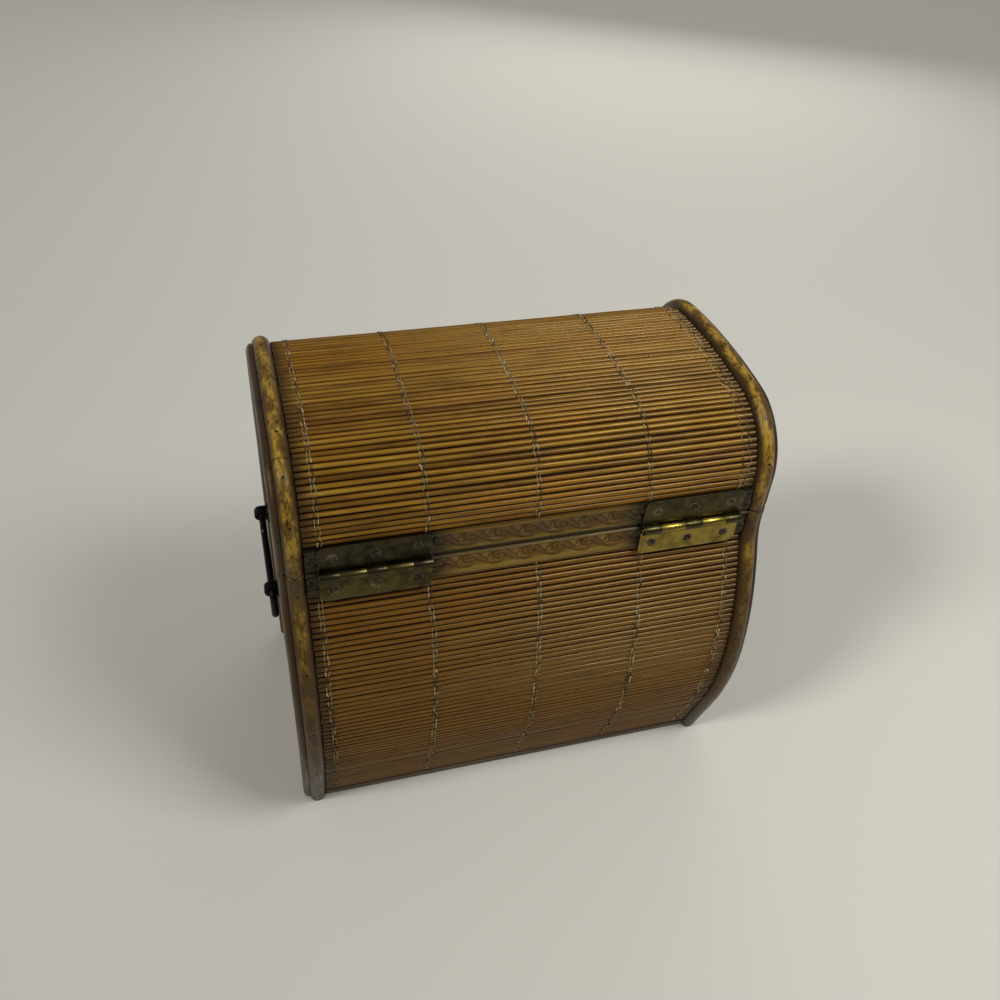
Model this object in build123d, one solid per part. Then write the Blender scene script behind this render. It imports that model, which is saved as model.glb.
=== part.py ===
"""Rattan trunk with a hinged lid, two drop handles and a hook catch. Millimetres.

Frame: +Z up, the front faces -Y, the hinges are on +Y, the handles are on +X and -X.
The origin is the centre of the flat underside. A side profile is drawn in (y, z).
"""

from build123d import *
import math
import os

os.makedirs("parts", exist_ok=True)

# Overall form
trunk_length = 300.0
crown_height = 289.0
parting_height = 222.0
base_half_depth = 80.5
belly_half_depth = 106.5
belly_height = 104.5
waist_half_depth = 84.3
parting_gap = 0.4

# Radii of the side profile, measured on the matting
lower_radius = 167.0
belly_radius = 225.0
waist_radius = 52.0
shoulder_radius = 43.5
crown_radius = 417.0

# Sheet pieces
reed_thickness = 3.0
skin_thickness = 4.0
end_panel_thickness = 8.0
base_board_thickness = 8.0
end_reed_thickness = 2.1
end_reed_low = 0.6
seat_gap = 0.1
floor_overrun = 30.0

# Half-round rattan poles
pole_width = 11.0
pole_height = 7.2
end_pole_width = 11.0
end_pole_height = 4.0
end_pole_edge = 0.8
pole_to_reed_gap = 0.2

# Rails beside the parting line and strips along the floor
body_rail_height = 15.8
lid_rail_height = 16.8
rail_face = 86.8
body_rail_bevel = (1.0, 1.0)
lid_rail_bevel = (4.4, 1.7)
base_strip_height = 8.3
base_strip_thickness = 3.4
reed_edge_gap = 0.2

# Hinges
hinge_length = 64.0
hinge_centre_x = 96.0
leaf_reach = 20.5
leaf_thickness = 1.6
leaf_corner_radius = 4.0
barrel_radius = 3.0
barrel_stand_off = 0.3
lid_knuckle_length = 11.3
knuckle_gap = 0.2
pin_radius = 1.25
pin_clearance = 0.05
pin_end_dome = 0.5
notch_clearance = 0.4
hinge_screw_pitch = 24.0
hinge_screw_offset = 12.2

# Countersunk cross-head screws
screw_head_radius = 3.0
screw_head_depth = 1.3
screw_shank_radius = 1.5
screw_length = 6.4
screw_clearance = 0.06
screw_cross_length = 3.2
screw_cross_width = 0.7
screw_cross_depth = 0.7

# Brads through the poles
brad_radius = 0.9
brad_clearance = 0.06
brad_sink = 0.5
brad_heights_body = [14.0, 62.0, 110.0, 158.0, 208.0]
brad_angles_lid = [18.0, 52.0]
brad_crown_y = 22.0
brad_lid_height = 232.0

# Drop handles on the ends
handle_height = 165.0
handle_post_spacing = 72.0
handle_axis_stand_off = 4.9
rose_radius = 7.0
rose_thickness = 1.6
post_width = 5.0
post_height = 9.0
post_reach = 9.9
post_stem_radius = 2.4
post_stem_clearance = 0.06
nut_radius = 5.0
nut_thickness = 3.0
bail_rod_radius = 2.3
bail_clearance = 0.08
bail_leg_gap = 1.0
bail_drop = 21.0
bail_corner_radius = 7.0
bail_elbow_radius = 3.4
bail_stub_overrun = 0.8

# Hook catch on the front
catch_plate_width = 25.0
catch_plate_height = 11.0
catch_plate_thickness = 1.0
catch_plate_corner = 2.0
catch_screw_spacing = 19.0
catch_screw_head_radius = 2.0
catch_screw_head_depth = 0.8
catch_screw_shank_radius = 1.0
catch_screw_length = 4.8
catch_layer_gap = 0.3
catch_offset_x = 4.25
catch_lid_plate_z = 230.0
catch_body_plate_z = 214.0
hook_thickness = 1.6
hook_arm_length = 17.0
hook_arm_width = 5.2
hook_pad_radius = 5.6
hook_eye_radius = 4.0
hook_slot_half_width = 2.3
rivet_radius = 1.6
rivet_head_radius = 2.9
rivet_head_thickness = 1.0
stud_neck_radius = 1.9
stud_head_radius = 3.3
stud_head_thickness = 1.2

# Values that follow
skin_offset = reed_thickness
inner_offset = reed_thickness + skin_thickness
end_face_x = trunk_length / 2 - end_pole_height
pole_inner_x = end_face_x - pole_width
pole_centre_x = end_face_x - pole_width / 2
inner_end_x = end_face_x - end_panel_thickness
reed_half_length = pole_inner_x - pole_to_reed_gap
body_top = parting_height - parting_gap / 2
lid_bottom = parting_height + parting_gap / 2
rail_low = body_top - body_rail_height
rail_high = lid_bottom + lid_rail_height
hinge_axis_y = rail_face + barrel_stand_off + barrel_radius
leaf_face = rail_face + leaf_thickness
body_knuckle_length = (hinge_length - 3 * lid_knuckle_length) / 2
handle_face_x = end_face_x + end_reed_thickness
handle_axis_x = handle_face_x + handle_axis_stand_off

# The side profile is a chain of arcs that touch: a straight run at the floor, the lower arc, the
# belly arc, the hollow waist arc, a straight waist, the shoulder arc and the flat crown arc.
lower_centre = (belly_half_depth - lower_radius, belly_height)
belly_centre = (belly_half_depth - belly_radius, belly_height)
waist_turn = math.acos(1 - (belly_half_depth - waist_half_depth) / (belly_radius + waist_radius))
waist_height = belly_height + (belly_radius + waist_radius) * math.sin(waist_turn)
waist_centre = (waist_half_depth + waist_radius, waist_height)
crown_centre = (0.0, crown_height - crown_radius)
shoulder_y = waist_half_depth - shoulder_radius
shoulder_reach = crown_radius - shoulder_radius
shoulder_z = crown_centre[1] + math.sqrt(shoulder_reach**2 - shoulder_y**2)
shoulder_centre = (shoulder_y, shoulder_z)
crown_turn = math.atan2(shoulder_z - crown_centre[1], shoulder_y)
foot_run = (base_half_depth - lower_centre[0], belly_height)
foot_turn = math.atan2(foot_run[1], foot_run[0]) - math.acos(lower_radius / math.hypot(*foot_run))


def polar(centre, radius, angle):
    """Point at an angle on a circle, as (y, z)."""
    return (centre[0] + radius * math.cos(angle), centre[1] + radius * math.sin(angle))


def foot_point(depth, height):
    """Point of the straight run at a height, on the profile moved inwards by depth."""
    touch = polar(lower_centre, lower_radius - depth, -foot_turn)
    return (touch[0] - (touch[1] - height) * math.tan(foot_turn), height)


def back_edges(depth, low, high):
    """Edges of the back wall's profile, moved inwards by depth, from a low to a high point."""
    lower_start = polar(lower_centre, lower_radius - depth, -foot_turn)
    lower_middle = polar(lower_centre, lower_radius - depth, -foot_turn / 2)
    belly_start = (belly_half_depth - depth, belly_height)
    belly_middle = polar(belly_centre, belly_radius - depth, waist_turn / 2)
    belly_end = polar(belly_centre, belly_radius - depth, waist_turn)
    waist_middle = polar(waist_centre, waist_radius + depth, math.pi + waist_turn / 2)
    waist_end = (waist_half_depth - depth, waist_height)
    return [
        Line(foot_point(depth, low), lower_start),
        ThreePointArc(lower_start, lower_middle, belly_start),
        ThreePointArc(belly_start, belly_middle, belly_end),
        ThreePointArc(belly_end, waist_middle, waist_end),
        Line(waist_end, (waist_half_depth - depth, high)),
    ]


def lid_edges(depth, low):
    """Edges of the lid's profile from the back foot of the lid over the crown to the front."""
    back_waist = (waist_half_depth - depth, shoulder_z)
    middle_turn = crown_turn / 2
    shoulder_middle = polar(shoulder_centre, shoulder_radius - depth, middle_turn)
    shoulder_end = polar(shoulder_centre, shoulder_radius - depth, crown_turn)
    crown_top = (0.0, crown_height - depth)
    front_end = (-shoulder_end[0], shoulder_end[1])
    front_middle = (-shoulder_middle[0], shoulder_middle[1])
    front_waist = (-back_waist[0], back_waist[1])
    return [
        Line((back_waist[0], low), back_waist),
        ThreePointArc(back_waist, shoulder_middle, shoulder_end),
        ThreePointArc(shoulder_end, crown_top, front_end),
        ThreePointArc(front_end, front_middle, front_waist),
        Line(front_waist, (front_waist[0], low)),
    ]


def body_face(depth):
    """Closed face of the body's profile, moved inwards by depth, reaching past both its ends."""
    low = -floor_overrun
    high = parting_height + floor_overrun
    back = back_edges(depth, low, high)
    front = [edge.mirror(Plane.YZ) for edge in back]
    foot = foot_point(depth, low)
    top = (waist_half_depth - depth, high)
    ends = [Line(foot, (-foot[0], low)), Line(top, (-top[0], high))]
    return make_face([*back, *front, *ends])


def lid_face(depth):
    """Closed face of the lid's profile, moved inwards by depth, reaching below the parting."""
    low = parting_height - floor_overrun
    edges = lid_edges(depth, low)
    foot = (waist_half_depth - depth, low)
    return make_face([*edges, Line(foot, (-foot[0], low))])


def window(y_low, y_high, z_low, z_high):
    """Rectangle in the side view."""
    centre = ((y_low + y_high) / 2, (z_low + z_high) / 2)
    return Pos(*centre) * Rectangle(y_high - y_low, z_high - z_low)


def along_x(face, x_low, x_high):
    """Solid of a side-view face between two stations along the trunk."""
    return extrude(Plane.YZ.offset(x_low) * face, x_high - x_low)


far = 400.0


def body_wall(outer, inner, z_low, z_high, half_length):
    """Back wall between two depths of the body's profile."""
    band = (body_face(outer) - body_face(inner)) & window(0, far, z_low, z_high)
    return along_x(band, -half_length, half_length)


def lid_wall(outer, inner, z_low, half_length):
    """Lid skin between two depths of the lid's profile."""
    band = (lid_face(outer) - lid_face(inner)) & window(-far, far, z_low, far)
    return along_x(band, -half_length, half_length)


def front_of(part):
    """The same piece on the front."""
    return part.mirror(Plane.XZ)


def left_of(part):
    """The same piece on the -X end."""
    return part.mirror(Plane.YZ)


def write(name, *solids):
    """Writes one named piece, or a group of like pieces, as a STEP file."""
    flat = [s for part in solids for s in part.solids()]
    export_step(Compound(children=flat) if len(flat) > 1 else flat[0], f"parts/{name}.step")


# Half-round pole sections, drawn in (across the pole, away from its seat)
def pole_section():
    """Round-backed section of the poles on the front, back and crown."""
    half = pole_width / 2
    wall = pole_height - half
    edges = [
        Line((-half, 0), (half, 0)),
        Line((half, 0), (half, wall)),
        ThreePointArc((half, wall), (0, pole_height), (-half, wall)),
        Line((-half, wall), (-half, 0)),
    ]
    return make_face(edges)


def end_pole_section():
    """Low half-round section of the poles on the end panels."""
    half = end_pole_width / 2
    edges = [
        Line((-half, 0), (half, 0)),
        Line((half, 0), (half, end_pole_edge)),
        ThreePointArc((half, end_pole_edge), (0, end_pole_height), (-half, end_pole_edge)),
        Line((-half, end_pole_edge), (-half, 0)),
    ]
    return make_face(edges)


def bent_pole(edges, station, section, outward_x):
    """Section bent round a side-view path that lies at a station along the trunk."""
    path = Plane.YZ.offset(station) * Wire(edges)
    start = path @ 0
    tangent = path % 0
    across = Vector(1, 0, 0)
    if outward_x:
        across = Vector(1, 0, 0).cross(tangent)
    frame = Plane(origin=start, x_dir=across, z_dir=tangent)
    placed = frame * section
    probe = frame.y_dir
    wanted = Vector(1, 0, 0) if outward_x else Vector(0, 1, 0)
    if probe.dot(wanted) < 0:
        placed = frame * section.mirror(Plane.XZ)
    return sweep(placed, path=path)


def above_floor(part):
    """Cuts a body piece level with the floor and with the parting line."""
    return part & Pos(0, 0, body_top / 2) * Box(3 * far, 3 * far, body_top)


def body_pole_path(depth):
    """Path of a body pole, run past the floor so that it can be cut level."""
    return back_edges(depth, -floor_overrun, body_top)


def wall_point(height, depth):
    """Point and outward direction of the back wall's profile at a height on the matting."""
    below = belly_height - lower_radius * math.sin(foot_turn)
    belly_end_z = belly_height + belly_radius * math.sin(waist_turn)
    if height < below:
        turn = -foot_turn
        base = foot_point(0, height)
    elif height < belly_height:
        turn = math.asin((height - belly_height) / lower_radius)
        base = polar(lower_centre, lower_radius, turn)
    elif height < belly_end_z:
        turn = math.asin((height - belly_height) / belly_radius)
        base = polar(belly_centre, belly_radius, turn)
    elif height < waist_height:
        turn = math.asin((waist_height - height) / waist_radius)
        base = polar(waist_centre, waist_radius, math.pi + turn)
    else:
        turn = 0.0
        base = (waist_half_depth, height)
    out = (math.cos(turn), math.sin(turn))
    return (base[0] - depth * out[0], base[1] - depth * out[1]), out


def lid_stations():
    """Points on the shell and outward directions of the brads through a lid pole."""
    stations = [((waist_half_depth - skin_offset, brad_lid_height), (1.0, 0.0))]
    for degrees in brad_angles_lid:
        turn = math.radians(degrees)
        point = polar(shoulder_centre, shoulder_radius - skin_offset, turn)
        stations.append((point, (math.cos(turn), math.sin(turn))))
    turn = math.acos(brad_crown_y / crown_radius)
    crown_point = polar(crown_centre, crown_radius - skin_offset, turn)
    stations.append((crown_point, (math.cos(turn), math.sin(turn))))
    front = [((-point[0], point[1]), (-out[0], out[1])) for point, out in stations]
    return stations + front


def rod(point, direction, start, end, radius):
    """Round rod along a direction from a point."""
    base = Vector(*point) + Vector(*direction) * start
    plane = Plane(origin=base, z_dir=Vector(*direction))
    return extrude(plane * Circle(radius), end - start)


def brads(stations, x, radius, start, end):
    """Brads, or their holes, at stations of the side view."""
    return [rod((x, p[0], p[1]), (0, d[0], d[1]), start, end, radius) for p, d in stations]


# Body shell
base_board = along_x(body_face(inner_offset + seat_gap) & window(-far, far, 0, base_board_thickness),
                     -inner_end_x, inner_end_x)
end_panel_face = body_face(inner_offset + seat_gap) & window(-far, far, 0, body_top)
end_panel = along_x(end_panel_face, inner_end_x, end_face_x)
back_shell = body_wall(skin_offset, inner_offset, 0, body_top, end_face_x)
back_reeds = body_wall(0, skin_offset - seat_gap, base_strip_height + reed_edge_gap, rail_low - reed_edge_gap,
                       reed_half_length)
end_reeds = along_x(body_face(end_pole_width + reed_edge_gap) & window(-far, far, end_reed_low, body_top),
                    end_face_x, handle_face_x)
strip_band = (body_face(skin_offset - base_strip_thickness) - body_face(skin_offset - seat_gap))
back_strip_face = strip_band & window(0, far, 0, base_strip_height)
back_base_strip = along_x(back_strip_face, -reed_half_length, reed_half_length)

# Lid shell
lid_shell = lid_wall(skin_offset, inner_offset, lid_bottom, end_face_x)
lid_reeds = lid_wall(0, skin_offset - seat_gap, rail_high + reed_edge_gap, reed_half_length)
lid_end_panel = along_x(lid_face(inner_offset + seat_gap) & window(-far, far, lid_bottom, far),
                        inner_end_x, end_face_x)
lid_end_reeds = along_x(lid_face(end_pole_width + reed_edge_gap) & window(-far, far, lid_bottom, far),
                        end_face_x, handle_face_x)


def rail(parting_edge, far_edge, bevel):
    """Rail with a bevel, given as (height, depth), on its outer edge beside the parting line."""
    low, high = sorted((parting_edge, far_edge))
    height = math.copysign(bevel[0], far_edge - parting_edge)
    corner = (rail_face, parting_edge)
    outer = (rail_face, parting_edge + height)
    inner = (rail_face - bevel[1], parting_edge)
    blank = window(waist_half_depth - 2 * skin_offset, rail_face, low, high)
    blank -= body_face(skin_offset - seat_gap)
    blank -= make_face([Line(corner, outer), Line(outer, inner), Line(inner, corner)])
    return along_x(blank, -reed_half_length, reed_half_length)


body_back_rail = rail(body_top, rail_low, body_rail_bevel)
lid_back_rail = rail(lid_bottom, rail_high, lid_rail_bevel)

# Poles
body_path = body_pole_path(skin_offset - seat_gap)
body_pole = above_floor(bent_pole(body_path, pole_centre_x, pole_section(), False))
body_end_path = body_pole_path(end_pole_width / 2)
body_end_pole = above_floor(bent_pole(body_end_path, end_face_x, end_pole_section(), True))
lid_pole = bent_pole(lid_edges(skin_offset - seat_gap, lid_bottom), pole_centre_x, pole_section(), False)
lid_end_pole = bent_pole(lid_edges(end_pole_width / 2, lid_bottom), end_face_x, end_pole_section(), True)

# Brads, with their holes in the poles
body_stations = [wall_point(height, skin_offset) for height in brad_heights_body]
brad_top = pole_height + seat_gap - brad_sink
body_pole -= brads(body_stations, pole_centre_x, brad_radius + brad_clearance, -1, pole_height + 2)
body_brads = brads(body_stations, pole_centre_x, brad_radius, 2 * seat_gap, brad_top)
lid_pole -= brads(lid_stations(), pole_centre_x, brad_radius + brad_clearance, -1, pole_height + 2)
lid_brads = brads(lid_stations(), pole_centre_x, brad_radius, 2 * seat_gap, brad_top)


def four_corners(parts):
    """Copies of pieces on the back right corner at all four corners."""
    right = [*parts, *[front_of(p) for p in parts]]
    return [*right, *[left_of(p) for p in right]]


# Screws
def screw(head_radius, head_depth, shank_radius, length):
    """Countersunk cross-head screw along -Z, its head's top at the origin."""
    head = Solid.make_cone(shank_radius, head_radius, head_depth, Plane((0, 0, -head_depth)))
    shank = Pos(0, 0, -(length + head_depth) / 2) * Cylinder(shank_radius, length - head_depth)
    body = head + shank
    for turn in (0, 90):
        slot = Rot(0, 0, turn) * Box(screw_cross_length * head_radius / screw_head_radius, screw_cross_width,
                                     2 * screw_cross_depth)
        body -= slot
    return body


def screw_hole(head_radius, head_depth, shank_radius, length):
    """Countersunk hole that such a screw sits in."""
    depth = head_depth + screw_clearance
    low_radius = shank_radius + screw_clearance
    head = Solid.make_cone(low_radius, head_radius + screw_clearance, depth, Plane((0, 0, -depth)))
    mouth = Pos(0, 0, 1) * Cylinder(head_radius + screw_clearance, 2)
    shank = Pos(0, 0, -length / 2) * Cylinder(shank_radius + screw_clearance, length + 2 * screw_clearance)
    return head + mouth + shank


def on_back(part, x, face, z):
    """Puts a piece drawn with its face up at the origin onto the back, face outwards."""
    return Pos(x, face, z) * Rot(-90, 0, 0) * part


hinge_screw_dims = (screw_head_radius, screw_head_depth, screw_shank_radius, screw_length)
hinge_screw_xs = [-hinge_screw_pitch, 0.0, hinge_screw_pitch]
lid_screw_z = parting_height + hinge_screw_offset
body_screw_z = parting_height - hinge_screw_offset


def hinge_screws(centre_x, z, make):
    """Three screws, or their holes, along one leaf."""
    return [on_back(make(*hinge_screw_dims), centre_x + x, leaf_face, z) for x in hinge_screw_xs]


def knuckle_spans():
    """Start and end of the five knuckles from the hinge's middle, the lid's first."""
    lid_spans = []
    body_spans = []
    start = -hinge_length / 2
    for index in range(5):
        on_lid = index % 2 == 0
        length = lid_knuckle_length if on_lid else body_knuckle_length
        (lid_spans if on_lid else body_spans).append((start, start + length))
        start += length
    return lid_spans, body_spans


def hinge_leaf(centre_x, up, own, other):
    """Leaf with its knuckles: up is 1 for the lid's leaf and -1 for the body's."""
    centre = leaf_reach / 2
    plate = Pos(0, centre) * Rectangle(hinge_length, leaf_reach)
    far_corners = plate.vertices().sort_by(Axis.Y)[-2:]
    plate = fillet(far_corners, leaf_corner_radius)
    notch_height = barrel_radius + notch_clearance
    for start, end in other:
        wide = end - start + 2 * knuckle_gap
        plate -= Pos((start + end) / 2, 0) * Rectangle(wide, 2 * notch_height)
    for start, end in own:
        for edge in (start, end):
            plate -= Pos(edge, 0) * Rectangle(knuckle_gap, 2 * notch_height)
    flat = extrude(plate, leaf_thickness)
    if up > 0:
        leaf = Pos(centre_x, rail_face, parting_height) * Rot(90, 0, 0) * Pos(0, 0, -leaf_thickness) * flat
    else:
        leaf = Pos(centre_x, rail_face, parting_height) * Rot(-90, 0, 0) * flat
    for start, end in own:
        length = end - start - knuckle_gap
        barrel = Cylinder(barrel_radius, length, rotation=(0, 90, 0))
        leaf += Pos(centre_x + (start + end) / 2, hinge_axis_y, parting_height) * barrel
    bore = Cylinder(pin_radius + pin_clearance, 2 * hinge_length, rotation=(0, 90, 0))
    leaf -= Pos(centre_x, hinge_axis_y, parting_height) * bore
    screw_z = lid_screw_z if up > 0 else body_screw_z
    for hole in hinge_screws(centre_x, screw_z, screw_hole):
        leaf -= hole
    return leaf


lid_spans, body_spans = knuckle_spans()
pin = Cylinder(pin_radius, hinge_length + 2 * pin_end_dome, rotation=(0, 90, 0))
pin = chamfer(pin.edges().filter_by(GeomType.CIRCLE), pin_end_dome / 2)
lid_pilot_holes = []
body_pilot_holes = []
hinge_parts = {}
for side, sign in (("right", 1), ("left", -1)):
    centre_x = sign * hinge_centre_x
    hinge_parts[f"{side}_hinge_lid_leaf"] = [hinge_leaf(centre_x, 1, lid_spans, body_spans)]
    hinge_parts[f"{side}_hinge_body_leaf"] = [hinge_leaf(centre_x, -1, body_spans, lid_spans)]
    hinge_parts[f"{side}_hinge_pin"] = [Pos(centre_x, hinge_axis_y, parting_height) * pin]
    hinge_parts[f"{side}_hinge_lid_screws"] = hinge_screws(centre_x, lid_screw_z, screw)
    hinge_parts[f"{side}_hinge_body_screws"] = hinge_screws(centre_x, body_screw_z, screw)
    lid_pilot_holes += hinge_screws(centre_x, lid_screw_z, screw_hole)
    body_pilot_holes += hinge_screws(centre_x, body_screw_z, screw_hole)
body_front_rail = front_of(body_back_rail)
lid_front_rail = front_of(lid_back_rail)
body_back_rail -= body_pilot_holes
lid_back_rail -= lid_pilot_holes

# Drop handle on the +X end: two posts with roses and nuts, and a bail that swings in them
post_y = handle_post_spacing / 2
leg_y = post_y + post_width / 2 + bail_leg_gap + bail_rod_radius
post_stem_end = -end_reed_thickness - end_panel_thickness - nut_thickness


def handle_post(y):
    """Post with its flat-sided head, its stem and the hole that the bail turns in."""
    head_low = rose_thickness
    head = Pos((head_low + post_reach) / 2, 0, 0) * Box(post_reach - head_low, post_width, post_height)
    outer = head.edges().filter_by(Axis.Y).sort_by(Axis.X)[-2:]
    head = fillet(outer, post_height / 2 - 0.4)
    stem_length = head_low - post_stem_end
    stem = Cylinder(post_stem_radius, stem_length, rotation=(0, 90, 0))
    stem = Pos((head_low + post_stem_end) / 2, 0, 0) * stem
    eye = Cylinder(bail_rod_radius + bail_clearance, far, rotation=(90, 0, 0))
    eye = Pos(handle_axis_stand_off, 0, 0) * eye
    return Pos(handle_face_x, y, handle_height) * (head + stem - eye)


def stem_hole(y):
    """Hole for a post's stem."""
    hole = Cylinder(post_stem_radius + post_stem_clearance, far / 8, rotation=(0, 90, 0))
    return Pos(end_face_x, y, handle_height) * hole


def rose(y):
    """Round plate under a post."""
    disc = Cylinder(rose_radius, rose_thickness, rotation=(0, 90, 0))
    disc = chamfer(disc.edges().filter_by(GeomType.CIRCLE).sort_by(Axis.X)[-1:], rose_thickness / 3)
    return Pos(handle_face_x + rose_thickness / 2, y, handle_height) * disc - stem_hole(y)


def nut(y):
    """Hexagonal nut on the end of a stem inside the trunk."""
    prism = extrude(Plane.YZ * RegularPolygon(nut_radius, 6), nut_thickness)
    return Pos(inner_end_x - nut_thickness, y, handle_height) * prism - stem_hole(y)


def bail():
    """Round rod bent to a hanging loop whose ends turn inwards through the posts."""
    inner_y = post_y - post_width / 2 - bail_stub_overrun
    route = [(-inner_y, 0), (-leg_y, 0), (-leg_y, -bail_drop), (leg_y, -bail_drop), (leg_y, 0), (inner_y, 0)]
    radii = [bail_elbow_radius, bail_corner_radius, bail_corner_radius, bail_elbow_radius]
    path = Plane.YZ * FilletPolyline(*route, radius=radii)
    start = Plane(origin=path @ 0, z_dir=path % 0)
    loop = sweep(start * Circle(bail_rod_radius), path=path)
    return Pos(handle_axis_x, 0, handle_height) * loop


handle_posts = [handle_post(y) for y in (-post_y, post_y)]
handle_roses = [rose(y) for y in (-post_y, post_y)]
handle_nuts = [nut(y) for y in (-post_y, post_y)]
handle_bail = bail()
end_panel -= [stem_hole(y) for y in (-post_y, post_y)]
end_reeds -= [stem_hole(y) for y in (-post_y, post_y)]

# Hook catch: a plate with a rivet and a hook on the lid rail, a plate with a stud on the body rail
catch_face = -rail_face
hook_face = catch_face - catch_plate_thickness - catch_layer_gap
hook_outer = hook_face - hook_thickness
head_face = hook_outer - catch_layer_gap
swing = math.asin(2 * catch_offset_x / hook_arm_length)
pivot_z = catch_lid_plate_z
stud_z = pivot_z - hook_arm_length * math.cos(swing)
catch_screw_head = (catch_screw_head_radius, catch_screw_head_depth)
catch_screw_dims = (*catch_screw_head, catch_screw_shank_radius, catch_screw_length)


def on_front(part, x, face, z):
    """Puts a piece drawn with its face up at the origin onto the front, face outwards."""
    return Pos(x, face, z) * Rot(90, 0, 0) * part


def catch_screws(z, make):
    """Two small screws, or their holes, in a catch plate."""
    face = catch_face - catch_plate_thickness
    half = catch_screw_spacing / 2
    return [on_front(make(*catch_screw_dims), x, face, z) for x in (-half, half)]


def catch_plate(z):
    """Rounded plate on a rail."""
    outline = RectangleRounded(catch_plate_width, catch_plate_height, catch_plate_corner)
    plate = on_front(extrude(outline, catch_plate_thickness), 0, catch_face, z)
    return plate - catch_screws(z, screw_hole)


def front_rod(x, z, radius, near, outer):
    """Round rod that stands out from the front between two depths."""
    return on_front(extrude(Circle(radius), near - outer), x, near, z)


rivet_neck = front_rod(catch_offset_x, pivot_z, rivet_radius, catch_face, head_face)
rivet_top = head_face - rivet_head_thickness
rivet_head = front_rod(catch_offset_x, pivot_z, rivet_head_radius, head_face, rivet_top)
catch_rivet = rivet_neck + rivet_head
rivet_hole = front_rod(catch_offset_x, pivot_z, rivet_radius + pin_clearance, 0, -far / 2)
catch_lid_plate = catch_plate(catch_lid_plate_z) - rivet_hole
stud_foot = catch_face - catch_plate_thickness
stud_neck = front_rod(-catch_offset_x, stud_z, stud_neck_radius, stud_foot, head_face)
stud_head = front_rod(-catch_offset_x, stud_z, stud_head_radius, head_face, head_face - stud_head_thickness)
catch_body_plate = catch_plate(catch_body_plate_z) + stud_neck + stud_head

hook_outline = Circle(hook_eye_radius)
hook_outline += Pos(0, -hook_arm_length / 2) * Rectangle(hook_arm_width, hook_arm_length)
hook_outline += Pos(0, -hook_arm_length) * Circle(hook_pad_radius)
slot_ring = Circle(hook_arm_length + hook_slot_half_width) - Circle(hook_arm_length - hook_slot_half_width)
slot_side = Pos(-far / 2, -far / 2) * Rectangle(far, far)
hook_outline -= slot_ring & slot_side
hook_outline -= Pos(0, -hook_arm_length) * Circle(hook_slot_half_width)
catch_hook = on_front(extrude(hook_outline, hook_thickness), catch_offset_x, hook_face, pivot_z) - rivet_hole
body_front_rail -= catch_screws(catch_body_plate_z, screw_hole)
lid_front_rail -= catch_screws(catch_lid_plate_z, screw_hole)

# The pieces by name
pieces = {
    "base_board": [base_board],
    "right_end_panel": [end_panel],
    "left_end_panel": [left_of(end_panel)],
    "back_shell": [back_shell],
    "front_shell": [front_of(back_shell)],
    "back_reed_mat": [back_reeds],
    "front_reed_mat": [front_of(back_reeds)],
    "right_end_reed_mat": [end_reeds],
    "left_end_reed_mat": [left_of(end_reeds)],
    "back_base_strip": [back_base_strip],
    "front_base_strip": [front_of(back_base_strip)],
    "body_back_rail": [body_back_rail],
    "body_front_rail": [body_front_rail],
    "back_right_pole": [body_pole],
    "back_left_pole": [left_of(body_pole)],
    "front_right_pole": [front_of(body_pole)],
    "front_left_pole": [left_of(front_of(body_pole))],
    "back_right_end_pole": [body_end_pole],
    "back_left_end_pole": [left_of(body_end_pole)],
    "front_right_end_pole": [front_of(body_end_pole)],
    "front_left_end_pole": [left_of(front_of(body_end_pole))],
    "body_pole_brads": four_corners(body_brads),
    "lid_shell": [lid_shell],
    "lid_reed_mat": [lid_reeds],
    "right_lid_end_reed_mat": [lid_end_reeds],
    "left_lid_end_reed_mat": [left_of(lid_end_reeds)],
    "right_lid_end_panel": [lid_end_panel],
    "left_lid_end_panel": [left_of(lid_end_panel)],
    "lid_back_rail": [lid_back_rail],
    "lid_front_rail": [lid_front_rail],
    "right_lid_pole": [lid_pole],
    "left_lid_pole": [left_of(lid_pole)],
    "right_lid_end_pole": [lid_end_pole],
    "left_lid_end_pole": [left_of(lid_end_pole)],
    "lid_pole_brads": [*lid_brads, *[left_of(b) for b in lid_brads]],
    **hinge_parts,
    "right_handle_bail": [handle_bail],
    "left_handle_bail": [left_of(handle_bail)],
    "right_handle_posts": handle_posts,
    "left_handle_posts": [left_of(p) for p in handle_posts],
    "right_handle_roses": handle_roses,
    "left_handle_roses": [left_of(p) for p in handle_roses],
    "right_handle_nuts": handle_nuts,
    "left_handle_nuts": [left_of(p) for p in handle_nuts],
    "catch_lid_plate": [catch_lid_plate],
    "catch_rivet": [catch_rivet],
    "catch_hook": [catch_hook],
    "catch_body_plate": [catch_body_plate],
    "catch_lid_screws": catch_screws(catch_lid_plate_z, screw),
    "catch_body_screws": catch_screws(catch_body_plate_z, screw),
}
for piece_name, piece_solids in pieces.items():
    write(piece_name, *piece_solids)
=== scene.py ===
"""Looks of the rattan trunk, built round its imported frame. All lengths are in metres."""

import logging
import math
from dataclasses import dataclass, field
from enum import Enum
from typing import Optional, Sequence

import bmesh
import bpy
import numpy as np
from mathutils import Matrix, Vector


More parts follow.
